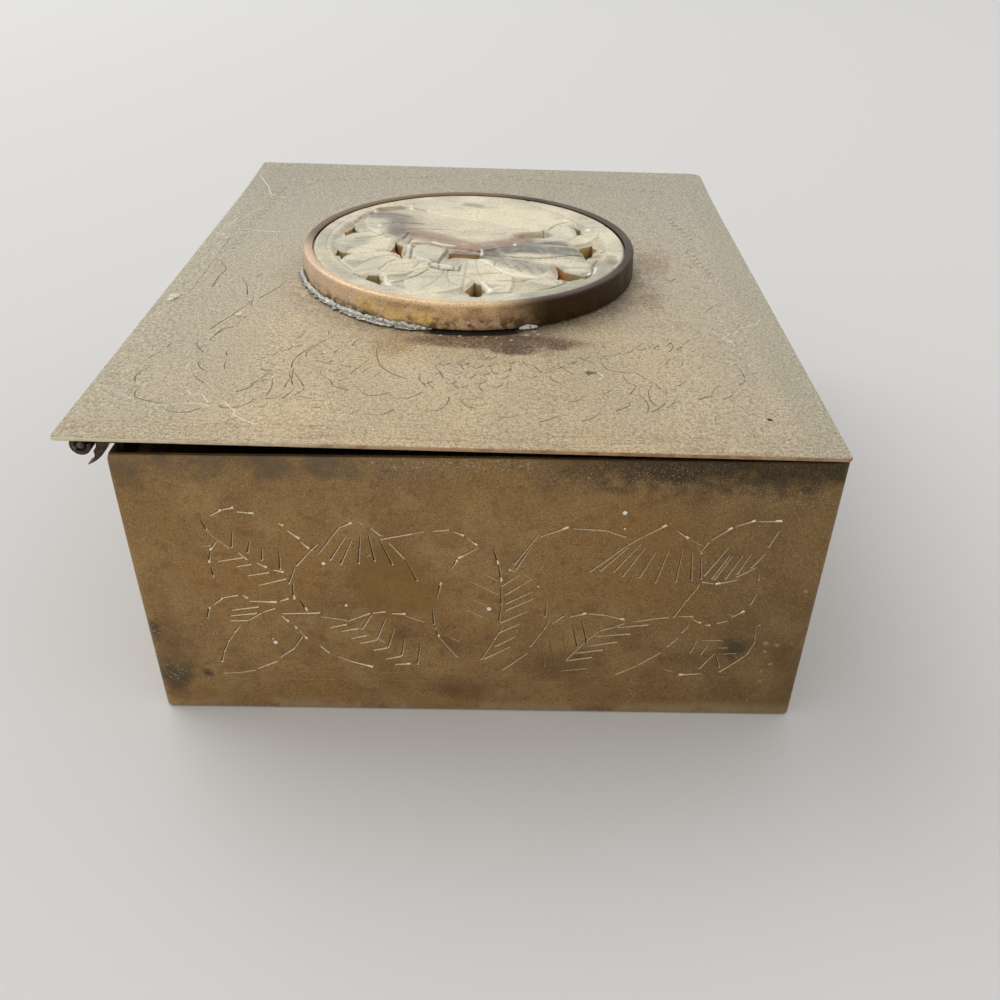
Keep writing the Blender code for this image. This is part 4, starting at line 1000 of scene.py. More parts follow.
def carving(points):
    """Height of the carved face above the stone's rim, and the masks that colour it, among them dirt with painted
    shade in its hollows and painted highlights along its edges.
    """
    radius = np.hypot(*points.T)
    height = np.full(len(points), -CARVED_GROUND)
    masks = {name: np.zeros(len(points)) for name in ("dirt_and_shade", "streak", "chip", "light", *STAINS)}
    masks["dirt_and_shade"] += GROUND_DIRT_AND_SHADE

    def mark(name, values):
        masks[name] = np.maximum(masks[name], values)

    def light_beside(path, shift, half_width, strength):
        mark("light", strength * groove(points, [p + shift for p in path], half_width))

    for index, (stalk, tip, half_width, bow) in enumerate(LEAVES):
        _, rib, side = leaf_middle(stalk, tip, bow, 8)
        tilt = (points - np.array(stalk)) @ np.array(side) / half_width
        level = LEAF_LEVEL + LEAF_STAGGER * (index * 2 % 3 - 1) + LEAF_TILT * tilt
        level -= RIB[1] * groove(points, rib, RIB[0])
        within = raise_form(points, leaf_loop(stalk, tip, half_width, bow), height, masks, level, CARVED_BEVEL, 0.5)
        mark("dirt_and_shade", 0.35 * groove(points, rib, 0.3) * within)
    for loop, rise in BLOCKS:
        raise_form(points, pairs(loop), height, masks, rise - FIELD_DEPTH, 0.22, 0.9)
    fruit = smooth_path(pairs(FRUIT), joined=True)
    edge = distance_to(points, closed(fruit))
    crown = np.sqrt(np.clip(1.0 - (1.0 - np.clip(edge / CROWN_REACH, 0.0, 1.0)) ** 2, 0.0, 1.0))
    raise_form(points, fruit, height, masks, FRUIT_LEVEL + FRUIT_CROWN * crown, CARVED_BEVEL, 0.5)
    field = fall(radius, FIELD_RADIUS - 0.9, FIELD_RADIUS - 0.1)
    height *= field
    masks["dirt_and_shade"] *= field
    masks["light"] *= field
    for path, half_width, depth in INCISED:
        curve = smooth_path(pairs(path))
        line = groove(points, curve, half_width)
        height -= depth * line
        mark("dirt_and_shade", np.sqrt(line) * min(1.0, depth / DARKEST_CUT))
        shift, reach, strength = CUT_LIGHT
        light_beside(curve, shift, reach, strength * min(1.0, depth / BRIGHT_CUT))
    for path, half_width, strength in LIGHTS:
        line = groove(points, smooth_path(pairs(path)), half_width + LIGHT_RISE)
        height += LIGHT_RISE * line * strength
        mark("light", step(line, 0.0, 0.6) * strength * 1.2)
        masks["dirt_and_shade"] *= 1.0 - 0.8 * line
    for path in family(*HATCH):
        line = groove(points, path, HATCH_CUT[0])
        height -= HATCH_CUT[1] * line
        mark("dirt_and_shade", line)
        light_beside(path, *HATCH_LIGHT)
    for path in family(*STREAKS):
        line = groove(points, smooth_path(path), STREAK_CUT[0]) * step(points[:, 0], 9.0, -4.0)
        height -= STREAK_CUT[1] * line
        mark("streak", line)
    for x, y, size in CHIPS:
        away = np.hypot(points[:, 0] - x, (points[:, 1] - y) * 0.7)
        height -= CHIP_DEPTH * fall(away, 0.0, size)
        mark("chip", fall(away, size * 0.3, size))
    for loop in PIERCINGS:
        away = distance_to(points, closed(pairs(loop)))
        height -= PIERCED_SINK[1] * fall(away, 0.0, PIERCED_SINK[0])
        mark("dirt_and_shade", 0.35 * fall(away, 0.1, 0.8))
    pocket = pairs(POCKET)
    height -= POCKET_DEPTH * inside(points, pocket) * step(distance_to(points, closed(pocket)), 0.0, 0.7)
    waves = [uneven(x, y, 0.0, 0.35) + 0.5 * uneven(x, y, 4.0, 1.3) for x, y in points]
    height = np.minimum(height + CARVED_WAVE * np.array(waves), CARVED_TOP)
    height -= np.clip(radius - STONE_RADIUS + STONE_BREAK, 0.0, None)
    for name, patches in STAINS.items():
        for path, core, reach, strength in patches:
            mark(name, strength * fall(distance_to(points, smooth_path(pairs(path))), core, reach))
    return height, masks


def carving_points():
    """A triangular grid over the stone, short of its edge."""
    rise = CARVING_GRID * math.sqrt(3) / 2
    rows = math.ceil(STONE_RADIUS / rise)
    grid = [((i + 0.5 * (j % 2)) * CARVING_GRID, j * rise)
            for j in range(-rows, rows + 1) for i in range(-rows - 1, rows + 2)]
    return np.array([p for p in grid if math.hypot(*p) < STONE_RADIUS - CARVING_GRID * 0.8])


def without(holes, flat, faces):
    """The faces whose middle lies in none of the holes."""
    gone = np.any([inside(middles(flat, faces), hole) for hole in holes], axis=0)
    return [face for face, hidden in zip(faces, gone) if not hidden]


def build_stone(material):
    top = LID_TOP + BEZEL_HEIGHT - STONE_RECESS
    foot = LID_TOP + SEAT_GAP
    circle = [direction(math.radians(k)) * STONE_RADIUS for k in range(360)]
    crease = [p * (1.0 - STONE_BREAK / STONE_RADIUS) for p in circle]
    holes = [ragged(pairs(loop)) for loop in PIERCINGS]
    loops = [circle] + holes
    grid = carving_points()
    clear = abs(np.hypot(*grid.T) - STONE_RADIUS + STONE_BREAK) > CARVING_GRID * 0.3
    for loop in holes:
        clear &= distance_to(grid, closed(loop)) > CARVING_GRID * 0.3
    chains = [closed(loop) for loop in loops]
    flat, faces = triangulate(chains + [closed(crease)], grid[clear])
    faces = without(holes, flat, faces)
    height, masks = carving(flat)
    places = [(x, y, top + h) for (x, y), h in zip(flat, height)]

    masks["wall"] = [0.0] * len(flat)
    floor_ids = []
    for loop in loops:
        ring = indices(flat, loop)
        start = [places[i][2] for i in ring]
        for level in STONE_LEVELS:
            below = add_ring(places, [(p.x, p.y, z + (foot - z) * level) for p, z in zip(loop, start)])
            masks["wall"] += [level] * len(loop)
            faces += band(ring, below)
            ring = below
        floor_ids += ring
    floor_flat, floor_faces = triangulate(chains)
    edge_points = np.array([tuple(p) for loop in loops for p in loop])
    nearest = [floor_ids[k] for k in indices(edge_points, floor_flat)]
    faces += [tuple(nearest[i] for i in face) for face in without(holes, floor_flat, floor_faces)]
    make_piece(
        "carved_medallion", [AXIS + Vector(p) for p in places], faces, material, "lid", ["carved_disc"],
        masks, LID_FRAME, sharp=50.0,
    )


def ragged(loop):
    """A piercing's outline: the sides bow in between the corners and are slightly uneven."""
    middle = sum(loop, Vector((0.0, 0.0))) / len(loop)
    path = []
    for a, b in sides_of(loop):
        length = (b - a).length
        parts = max(1, round(length / PIERCED_STEP))
        side = Vector((a.y - b.y, b.x - a.x)).normalized()
        if side.dot(middle - (a + b) / 2) < 0:
            side.negate()
        for i in range(parts):
            p = a.lerp(b, i / parts)
            bow = min(PIERCED_BOW, PIERCED_CURVE * length) * math.sin(math.pi * i / parts)
            path.append(p + side * (bow + RAGGED * uneven(p.x, p.y, 3.0, 1.6)))
    return path


def build_bezel(material):
    """The band and the thin lip that folds over the stone, revolved with a slight unevenness.

    None of it is outside the CAD's outline.
    """
    foot = LID_TOP + SEAT_GAP
    top = LID_TOP + BEZEL_HEIGHT
    outer_top = BEZEL_RADIUS - BEZEL_DRAFT
    inner = outer_top - BEZEL_WALL
    profile = [
        (inner, foot), (BEZEL_RADIUS, foot), (BEZEL_RADIUS - 0.02, foot + 0.8), (BEZEL_RADIUS - 0.1, foot + 2.2),
        (outer_top - 0.01, top - 0.9), (outer_top, top - 0.45), (outer_top - 0.06, top - 0.24),
        (outer_top - 0.18, top - 0.08), (outer_top - 0.4, top), (LIP_RADIUS + 0.65, top - 0.02),
        (LIP_RADIUS + 0.25, top - 0.05), (LIP_RADIUS + 0.08, top - 0.12), (LIP_RADIUS, top - 0.24),
        (LIP_RADIUS + 0.02, top - LIP_SHEET), (inner, top - 0.95), (inner, top - 1.6),
    ]

    def section(out):
        for radius, level in profile:
            dent = sum(size * uneven(out.x * pitch, out.y * pitch, level * rise) for size, pitch, rise in BEZEL_DENTS)
            sink = BEZEL_SINK * abs(uneven(out.x * 5, out.y * 5, 7.0)) if level > foot else 0.0
            yield AXIS + out * (radius - abs(dent)) + Vector((0.0, 0.0, level - sink))

    turns = [direction(2 * math.pi * k / BEZEL_PARTS).to_3d() for k in range(BEZEL_PARTS)]
    places, faces = sweep([list(section(out)) for out in turns], joined=True)
    make_piece("bezel_band", places, faces, material, "lid", ["bezel_ring"], None, LID_FRAME)


SOLDER_RISE = 0.65
SOLDER_STEPS = 10
SOLDER_TURN = 0.4               # degrees from one section to the next
SOLDER_LEAST = (0.12, 0.10)     # least leg and rise
SOLDER_KNOBS = 0.10
SOLDER_ARCS = {"bezel_solder_side": (187.0, 261.0), "bezel_solder_front": (287.5, 293.5)}
SOLDER_LEGS = ((187.0, 208.0, 227.0, 239.0, 250.0, 261.0, 287.5, 293.5), (0.6, 0.7, 0.95, 1.4, 1.3, 1.0, 0.45, 0.45))


def build_solder(material):
    """Lumpy fillets run round parts of the bezel's foot."""
    foot = AXIS + Vector((0.0, 0.0, LID_TOP + SEAT_GAP))
    wet = BEZEL_RADIUS + SEAT_GAP

    def section(degrees, share):
        turn = math.radians(degrees)
        out = direction(turn).to_3d()
        swell = min(1.0, 12.0 * share, 12.0 * (1.0 - share)) * 0.85 + 0.1
        leg = np.interp(degrees, *SOLDER_LEGS) * swell * (1.0 + 0.7 * uneven(turn * 30, 0.0, 0.0))
        rise = SOLDER_RISE * swell * (0.8 + 0.8 * uneven(turn * 24, 5.0, 0.0))
        leg, rise = max(leg, SOLDER_LEAST[0]), max(rise, SOLDER_LEAST[1])
        for i in range(SOLDER_STEPS + 1):
            tilt = math.pi / 2 * i / SOLDER_STEPS
            reach = leg * (1.0 - math.sin(tilt)) ** 0.8
            climb = rise * (1.0 - math.cos(tilt)) ** 0.8
            knob = SOLDER_KNOBS * uneven(turn * 60, i * 0.9, 2.0) if 0 < i < SOLDER_STEPS else 0.0
            yield foot + out * (wet + max(reach + knob, 0.0)) + Vector((0.0, 0.0, max(climb + knob, 0.0)))
        yield foot + out * wet

    for node, (start, end) in SOLDER_ARCS.items():
        count = round((end - start) / SOLDER_TURN)
        shares = [k / count for k in range(count + 1)]
        places, faces = sweep([list(section(start + (end - start) * t, t)) for t in shares], joined=False)
        make_piece(node + "_run", places, faces, material, "lid", [node], None, LID_FRAME)


# Materials

def over_lid(rise):
    """The medallion's middle at a height over the lid's top, in the row frame."""
    return LID_FRAME @ (AXIS + Vector((0.0, 0.0, LID_TOP + rise)))


class Look:
    """One material's nodes. Most calls add a node and return its output socket; ground, paint and dim
    build up the colour, layer upon layer."""

    def __init__(self, name, metallic=0.0):
        self.material = bpy.data.materials.new(name)
        self.material.use_nodes = True
        self.tree = self.material.node_tree
        self.shader = self.tree.nodes["Principled BSDF"]
        self.set(Metallic=metallic)
        self.place = self.vector("SCALE", self.node("TexCoord", {}, "Object"), Scale=1.0 / MM)

    def node(self, kind, inputs, output=0, **settings):
        """Add a node, fill its inputs and return one of its outputs."""
        made = self.tree.nodes.new("ShaderNode" + kind)
        for key, value in settings.items():
            setattr(made, key, value)
        for key, value in inputs.items():
            self.link(value, made.inputs[key])
        return made.outputs[output]

    def link(self, value, socket):
        """Connect a socket, or set a plain number, colour or place."""
        if isinstance(value, bpy.types.NodeSocket):
            self.tree.links.new(value, socket)
        else:
            socket.default_value = value

    def set(self, **inputs):
        """Inputs of the shader, with _ for a blank in their names."""
        for key, value in inputs.items():
            self.link(value, self.shader.inputs[key.replace("_", " ")])

    def vector(self, operation, a, b=None, output="Vector", **inputs):
        """Arithmetic on places or colours."""
        inputs = {0: a, **({} if b is None else {1: b}), **inputs}
        return self.node("VectorMath", inputs, output, operation=operation)

    def maths(self, operation, a, b):
        return self.node("Math", {0: a, 1: b}, operation=operation)

    def times(self, *factors):
        return functools.reduce(lambda a, b: self.maths("MULTIPLY", a, b), factors)

    def most(self, *masks):
        return functools.reduce(lambda a, b: self.maths("MAXIMUM", a, b), masks)

    def noise(self, scale, detail=3.0, roughness=0.55, stretch=(1.0, 1.0, 1.0), turn=0.0, shift=0.0):
        moved = self.node("Mapping", {
            "Vector": self.place, "Scale": stretch, "Rotation": (0.0, 0.0, turn), "Location": (shift, shift, shift),
        })
        return self.node("TexNoise", {
            "Vector": moved, "Scale": scale, "Detail": detail, "Roughness": roughness,
        }, "Fac")

    def attribute(self, name):
        return self.node("Attribute", {}, "Fac", attribute_name=name)

    def span(self, value, low, high, start=0.0, end=1.0):
        """Remap low..high to start..end, smooth and held at both ends."""
        return self.node("MapRange", {
            "Value": value, "From Min": low, "From Max": high, "To Min": start, "To Max": end,
        }, "Result", interpolation_type="SMOOTHSTEP")

    def axis(self, index):
        return self.node("SeparateXYZ", {0: self.place}, index)

    def along(self, index, *ends):
        """A span of x, y or z in the row frame, in millimetres."""
        return self.span(self.axis(index), *ends)

    def distance(self, centre):
        """Distance from a point in the row frame, in millimetres."""
        return self.vector("DISTANCE", self.place, tuple(centre), "Value")

    def spot(self, centre, radius, soft=0.6, ragged=0.5, stretch=(1.0, 1.0, 1.0)):
        """1 inside a ragged spot, 0 outside. The centre is in millimetres in the row frame."""
        away = self.vector("MULTIPLY", self.vector("SUBTRACT", self.place, tuple(centre)), stretch)
        rough = self.times(self.maths("SUBTRACT", self.noise(2.2 / radius, 4.0), 0.5), 3.0 * ragged * radius)
        length = self.maths("ADD", self.vector("LENGTH", away, output="Value"), rough)
        return self.span(length, radius * (1 - soft), radius, 1.0, 0.0)

    def spots(self, at, places, *shape):
        """Spots that each say where they are and how large, with their shape or the one given here."""
        return self.most(*(at(*place, *shape) for place in places))

    def mix(self, share, a, b):
        a, b = ((*colour, 1.0) if isinstance(colour, tuple) else colour for colour in (a, b))
        return self.node("Mix", {"Factor": share, "A": a, "B": b}, "Result", data_type="RGBA")

    def ground(self, value, low, high, dark, pale):
        self.colour = self.mix(self.span(value, low, high), dark, pale)

    def paint(self, mask, tint, share=1.0):
        """Cover the colour where the mask is 1, up to the share."""
        self.colour = self.mix(mask if share == 1.0 else self.times(mask, share), self.colour, tint)

    def wash(self, value, low, high, share, tint):
        """Cover the colour where the value is beyond low..high, up to the share."""
        self.paint(self.span(value, low, high, 0.0, share), tint)

    def dim(self, factor):
        self.colour = self.shade(self.colour, factor)

    def shade(self, colour, factor):
        """The colour made lighter or darker."""
        return self.vector("SCALE", colour, Scale=factor)

    def finish(self, roughness, bumps):
        """Connect the colour, the roughness and a chain of bumps: (height, distance in mm)."""
        self.set(Base_Color=self.colour, Roughness=roughness)
        normal = {}
        for height, distance in bumps:
            inputs = {"Strength": 1.0, "Distance": distance * MM, "Height": height, **normal}
            normal = {"Normal": self.node("Bump", inputs, "Normal")}
        self.set(**normal)
        return self.material


def case_brass():
    look = Look("aged_case_brass", metallic=0.6)
    rust = look.noise(0.16, 5.0)
    grain = look.noise(4.5, 5.0, 0.7)
    look.ground(rust, 0.35, 0.68, (0.285, 0.168, 0.066), (0.385, 0.242, 0.1))
    look.paint(look.span(look.noise(0.05, 2.0, shift=40.0), 0.45, 0.7), (0.34, 0.195, 0.07))
    left, near = CASE_LOW.x, CASE_LOW.y
    look.dim(look.along(0, left + 50.0, left + 92.0, 1.06, 0.74))
    look.wash(grain, 0.5, 0.68, 0.75, (0.1, 0.058, 0.03))
    look.wash(grain, 0.45, 0.33, 0.55, (0.62, 0.43, 0.23))
    blotch = look.span(look.noise(0.55, 5.0, 0.62, shift=15.0), 0.52, 0.66, 0.0, 0.38)
    look.paint(blotch, (0.17, 0.095, 0.042))
    pale = look.times(look.along(2, 3.0, 0.5), look.span(look.noise(0.2, 4.0), 0.4, 0.6))
    look.paint(pale, (0.5, 0.37, 0.22), 0.5)

    def at(across, down, *shape):
        return look.spot((left + across, near, CASE_HEIGHT - down), *shape)

    warm = look.most(at(35.5, 20.0, 7.5, 0.5, 0.16, (1.1, 0.6, 0.85)), at(38.5, 22.5, 4.6, 0.5, 0.25))
    look.paint(warm, (0.25, 0.135, 0.034), 0.55)
    dark = look.most(
        at(1.6, 39.0, 5.0, 0.9, 0.5, (1.1, 0.4, 0.8)), at(0.7, 30.0, 1.2, 0.9, 0.5, (1.0, 0.4, 0.4)),
        at(7.0, 38.5, 1.2, 0.9), at(85.0, 32.0, 3.2, 0.9, 0.5, (0.9, 1.0, 1.0)),
    )
    faint = look.most(
        at(36.2, 30.0, 2.8, 1.0, 0.6), at(43.5, 32.0, 3.0, 1.0, 0.6), at(92.5, 33.0, 4.0, 1.0, 0.5, (1.2, 0.4, 0.8)),
        at(2.0, 4.0, 4.5, 1.0, 0.5), at(95.5, 38.0, 9.0, 1.0, 0.4, (1.6, 0.4, 0.5)),
        at(3.0, 33.0, 7.0, 1.0, 0.4, (1.6, 0.4, 0.7)), at(60.0, 36.0, 9.0, 1.0, 0.6, (0.8, 1.0, 1.8)),
        at(47.0, 41.0, 8.0, 1.0, 0.6, (0.7, 1.0, 2.0)),
    )
    look.paint(faint, (0.12, 0.066, 0.026), 0.45)
    look.paint(dark, (0.062, 0.05, 0.03), 0.75)
    height = look.maths("ADD", look.axis(2), look.span(look.noise(0.5, 4.0), 0.3, 0.7, -1.3, 1.3))
    # Partly a dark stain and partly painted shade under the lid's edge: a darker band below the rim, strongest towards
    # the right.
    dark_near_rim = look.times(
        look.span(height, CASE_HEIGHT - 6.5, CASE_HEIGHT - 1.0), look.along(0, left + 46.0, left + 72.0, 0.12, 1.0),
    )
    look.paint(look.times(dark_near_rim, look.span(grain, 0.35, 0.65, 0.7, 0.98)), (0.034, 0.024, 0.013))
    smudge = look.times(
        look.span(height, CASE_HEIGHT - 5.5, CASE_HEIGHT - 1.0),
        look.span(look.noise(0.22, 4.0), 0.35, 0.6, 0.1, 0.55),
    )
    smudge = look.times(smudge, look.along(0, left + 44.0, left + 24.0, 0.15, 1.3))
    look.paint(smudge, (0.125, 0.1, 0.072))
    crumbs = look.spots(at, (
        (89.5, 30.9, 0.5), (91.2, 31.2, 0.4), (89.6, 32.5, 0.35), (90.8, 35.0, 0.35), (89.7, 36.5, 0.3),
        (89.9, 38.4, 0.3), (93.5, 21.1, 0.35), (53.3, 29.2, 0.3),
    ), 0.5, 0.5)
    look.paint(crumbs, (0.42, 0.38, 0.28), 0.6)
    crust = look.times(
        look.span(look.noise(2.4, 5.0), 0.53, 0.66),
        look.most(
            at(1.8, 38.0, 2.6), at(0.8, 30.2, 1.0), at(70.5, 41.0, 3.8, 0.9, 0.3, (3.0, 1.0, 0.7)),
            at(45.0, 0.8, 10.0, 0.6, 0.3, (0.6, 1.0, 7.0)),
        ),
    )
    look.paint(crust, (0.4, 0.41, 0.32), 0.85)
    powder = look.times(
        look.span(look.noise(7.0, 3.0), 0.6, 0.7),
        look.most(
            at(66.0, 2.6, 19.0, 0.9, 0.3, (0.8, 1.0, 4.5)), at(88.0, 5.4, 6.0, 0.9, 0.4, (0.6, 1.0, 1.6)),
            at(40.0, 1.6, 16.0, 0.9, 0.3, (0.8, 1.0, 6.0)),
        ),
    )
    look.paint(powder, (0.62, 0.56, 0.44), 0.8)
    specks = look.spots(at, (
        (26.45, 17.25, 0.3), (17.95, 32.0, 0.4), (17.7, 31.3, 0.15), (28.95, 24.75, 0.26), (49.3, 25.05, 0.4),
        (67.3, 8.1, 0.36), (67.5, 10.7, 0.16),
    ), 0.4, 0.2)
    look.paint(specks, (1.0, 0.95, 0.8))
    # Painted light and shade on the cuts: the flank that faces the light is cream, the other near black, both dimmer
    # towards the right.
    lit = look.attribute("lit")
    side = look.mix(look.span(lit, -0.2, 0.16), (0.035, 0.02, 0.011), (0.96, 0.76, 0.48))
    faded = look.along(0, left + 20.0, left + 62.0, 1.0, 0.66)
    side = look.shade(side, look.times(faded, look.span(grain, 0.4, 0.62, 1.1, 0.7)))
    look.wash(look.attribute("cut"), 0.03, 0.24, 0.95, side)
    # Painted glint: a bright cream spot on the burr at the end of each cut.
    look.paint(look.span(look.attribute("burr"), 0.25, 0.6), (1.0, 0.86, 0.6))
    roughness = look.span(rust, 0.3, 0.75, 0.4, 0.55)
    bumps = ((look.noise(0.12, 2.0), 0.5), (look.noise(0.9, 3.0), 0.05), (grain, 0.1))
    look.set(Specular_IOR_Level=0.2)
    return look.finish(roughness, bumps)


def lid_brass():
    look = Look("aged_lid_brass", metallic=0.7)
    cloud = look.noise(0.1, 5.0)
    grain = look.noise(5.5, 5.0, 0.75)
    wormy = look.noise(1.9, 3.0, 0.6, shift=50.0)
    look.ground(cloud, 0.35, 0.65, (0.54, 0.43, 0.27), (0.6, 0.475, 0.285))
    # Painted reflection: the sheet turns greyer towards its far edge, where it mirrors the bright surroundings at a
    # glancing angle.
    look.paint(look.along(1, -55.0, 45.0, 0.0, 0.85), (0.48, 0.445, 0.36))
    leftward = look.along(0, -20.0, -48.0, 0.0, 0.6)
    look.paint(leftward, (0.4, 0.375, 0.3))
    look.dim(look.along(0, -44.0, 46.0, 1.15, 1.17))
    look.dim(look.along(1, 5.0, 60.0, 1.0, 0.82))
    look.paint(look.along(0, 20.0, 50.0, 0.0, 0.45), (0.5, 0.46, 0.39))
    centre = over_lid(0.0)
    away = look.distance(centre)
    ring = look.span(away, 31.0, 37.0, 1.0, 0.0)
    patchy = look.times(
        look.span(look.noise(0.35, 5.0, 0.65), 0.36, 0.58),
        look.span(look.noise(1.9, 4.0, 0.7), 0.42, 0.56, 0.35, 1.0),
    )
    front = look.along(1, centre.y + 8.0, centre.y - 20.0)
    right = look.along(0, centre.x + 18.0, centre.x + 30.0)
    stained = look.times(ring, patchy, look.most(front, right))
    look.paint(stained, (0.33, 0.21, 0.115), 0.75)
    # Partly dirt and partly painted shade: darker brown close round the bezel's foot on its near and right sides.
    dirt_and_shade = look.times(
        look.span(away, 31.6, 28.9, 0.0, 0.75), look.span(look.noise(1.3, 4.0, 0.7, shift=70.0), 0.38, 0.56),
    )
    look.paint(look.times(dirt_and_shade, look.most(front, right)), (0.16, 0.085, 0.042))

    def at(across, down, *shape):
        return look.spot(LID_FRAME @ lid_point(across, down), *shape)

    band = look.times(
        at(54.5, 93.8, 17.5, 0.4, 0.12, (1.0, 5.2, 1.0)), look.span(look.noise(1.7, 5.0, 0.7), 0.34, 0.5, 0.45, 1.0),
    )
    look.paint(band, (0.17, 0.075, 0.032))
    rust = look.most(
        at(57.5, 96.5, 4.7, 0.5, 0.25, (0.95, 2.2, 1.0)), at(63.5, 95.4, 2.6, 0.6, 0.5, (0.8, 1.6, 1.0)),
        at(68.5, 103.6, 1.5, 0.8, 0.6, (1.0, 1.6, 1.0)),
    )
    look.paint(rust, (0.085, 0.036, 0.016))
    beside = look.most(at(84.0, 57.0, 5.0, 0.9, 0.6, (1.3, 0.5, 1.0)), at(80.5, 76.0, 4.5, 0.9, 0.6, (1.3, 0.6, 1.0)))
    mottled = look.span(look.noise(1.1, 5.0, 0.7, shift=24.0), 0.38, 0.56, 0.2, 0.75)
    look.paint(look.times(beside, mottled), (0.33, 0.205, 0.1))
    ochre = look.most(at(39.0, 96.4, 4.4, 0.6, 0.4), at(62.0, 96.5, 3.0, 0.9, 0.6))
    look.paint(ochre, (0.44, 0.27, 0.1), 0.65)
    pale = at(46.5, 105.5, 12.0, 0.9, 0.4, (0.8, 1.7, 1.0))
    look.paint(pale, (0.82, 0.71, 0.52), 0.35)
    streaks = look.noise(1.2, 4.0, stretch=(0.1, 2.2, 1.0), shift=33.0)
    edge_zone = look.along(1, PLATE_LOW.y + 7.5, PLATE_LOW.y + 3.0)
    streaked = look.times(edge_zone, look.span(streaks, 0.46, 0.62, 0.0, 0.5))
    look.paint(streaked, (0.42, 0.26, 0.13))
    green = look.along(0, PLATE_HIGH.x - 6.5, PLATE_HIGH.x - 4.0, 0.0, 0.45)
    look.paint(green, (0.44, 0.43, 0.33))
    look.wash(grain, 0.5, 0.64, 0.85, (0.2, 0.16, 0.108))
    look.wash(grain, 0.48, 0.35, 0.8, (1.0, 0.9, 0.68))
    look.wash(wormy, 0.53, 0.62, 0.42, (0.24, 0.19, 0.125))
    look.wash(wormy, 0.46, 0.36, 0.3, (0.86, 0.78, 0.58))
    # Painted shadow: a near-black strip on the lid just in front of the bezel's foot, where the band stands clear of
    # the lid.
    foot = look.times(
        look.span(away, 31.2, 30.8), look.along(0, centre.x - 6.5, centre.x - 4.5),
        look.along(0, centre.x + 10.2, centre.x + 8.2), look.along(1, centre.y, centre.y - 5.0),
    )
    look.paint(foot, (0.02, 0.012, 0.008), 0.95)
    drips = look.spots(at, [(*place, radius) for place, radius, _ in LID_LUMPS], 0.3, 0.2)
    look.paint(drips, (0.74, 0.7, 0.62))
    bright = look.span(look.noise(2.6, 3.0, shift=9.0), 0.7, 0.76, 0.0, 0.6)
    look.paint(bright, (1.0, 0.94, 0.8))
    specks = look.spots(at, (
        (46.0, 92.0, 0.35), (49.0, 92.0, 0.3), (53.0, 92.0, 0.35), (57.0, 93.0, 0.35), (59.4, 91.0, 0.6),
        (60.6, 89.6, 0.5), (61.2, 90.6, 0.4),
    ), 0.5, 0.4)
    look.paint(specks, (0.88, 0.8, 0.64), 0.85)
    look.paint(at(92.4, 116.1, 0.5, 0.5, 0.2), (0.05, 0.035, 0.025))
    # Cuts filled with dark dirt; the flank that faces the light is painted paler.
    cut = look.attribute("cut")
    dark = look.mix(look.span(look.attribute("lit"), 0.3, 0.8), (0.085, 0.064, 0.044), (0.55, 0.46, 0.33))
    look.wash(cut, 0.06, 0.4, 0.85, dark)
    look.wash(look.attribute("scratch"), 0.05, 0.4, 0.85, (0.95, 0.9, 0.8))
    # Painted highlight along the rounded edge: pale on the left, brown on the right, broken by darker worn patches.
    edge = look.mix(look.along(0, -48.0, 6.0), (0.88, 0.8, 0.56), (0.56, 0.33, 0.17))
    worn = look.times(look.span(look.noise(0.6, 5.0), 0.45, 0.6), look.along(0, -45.0, 0.0, 0.15, 0.7))
    edge = look.mix(worn, edge, (0.32, 0.17, 0.085))
    look.wash(look.attribute("edge"), 0.55, 0.9, 0.9, edge)
    roughness = look.span(cloud, 0.3, 0.7, 0.44, 0.56)
    return look.finish(roughness, ((look.noise(0.07, 2.0), 0.4), (wormy, 0.2), (grain, 0.18)))


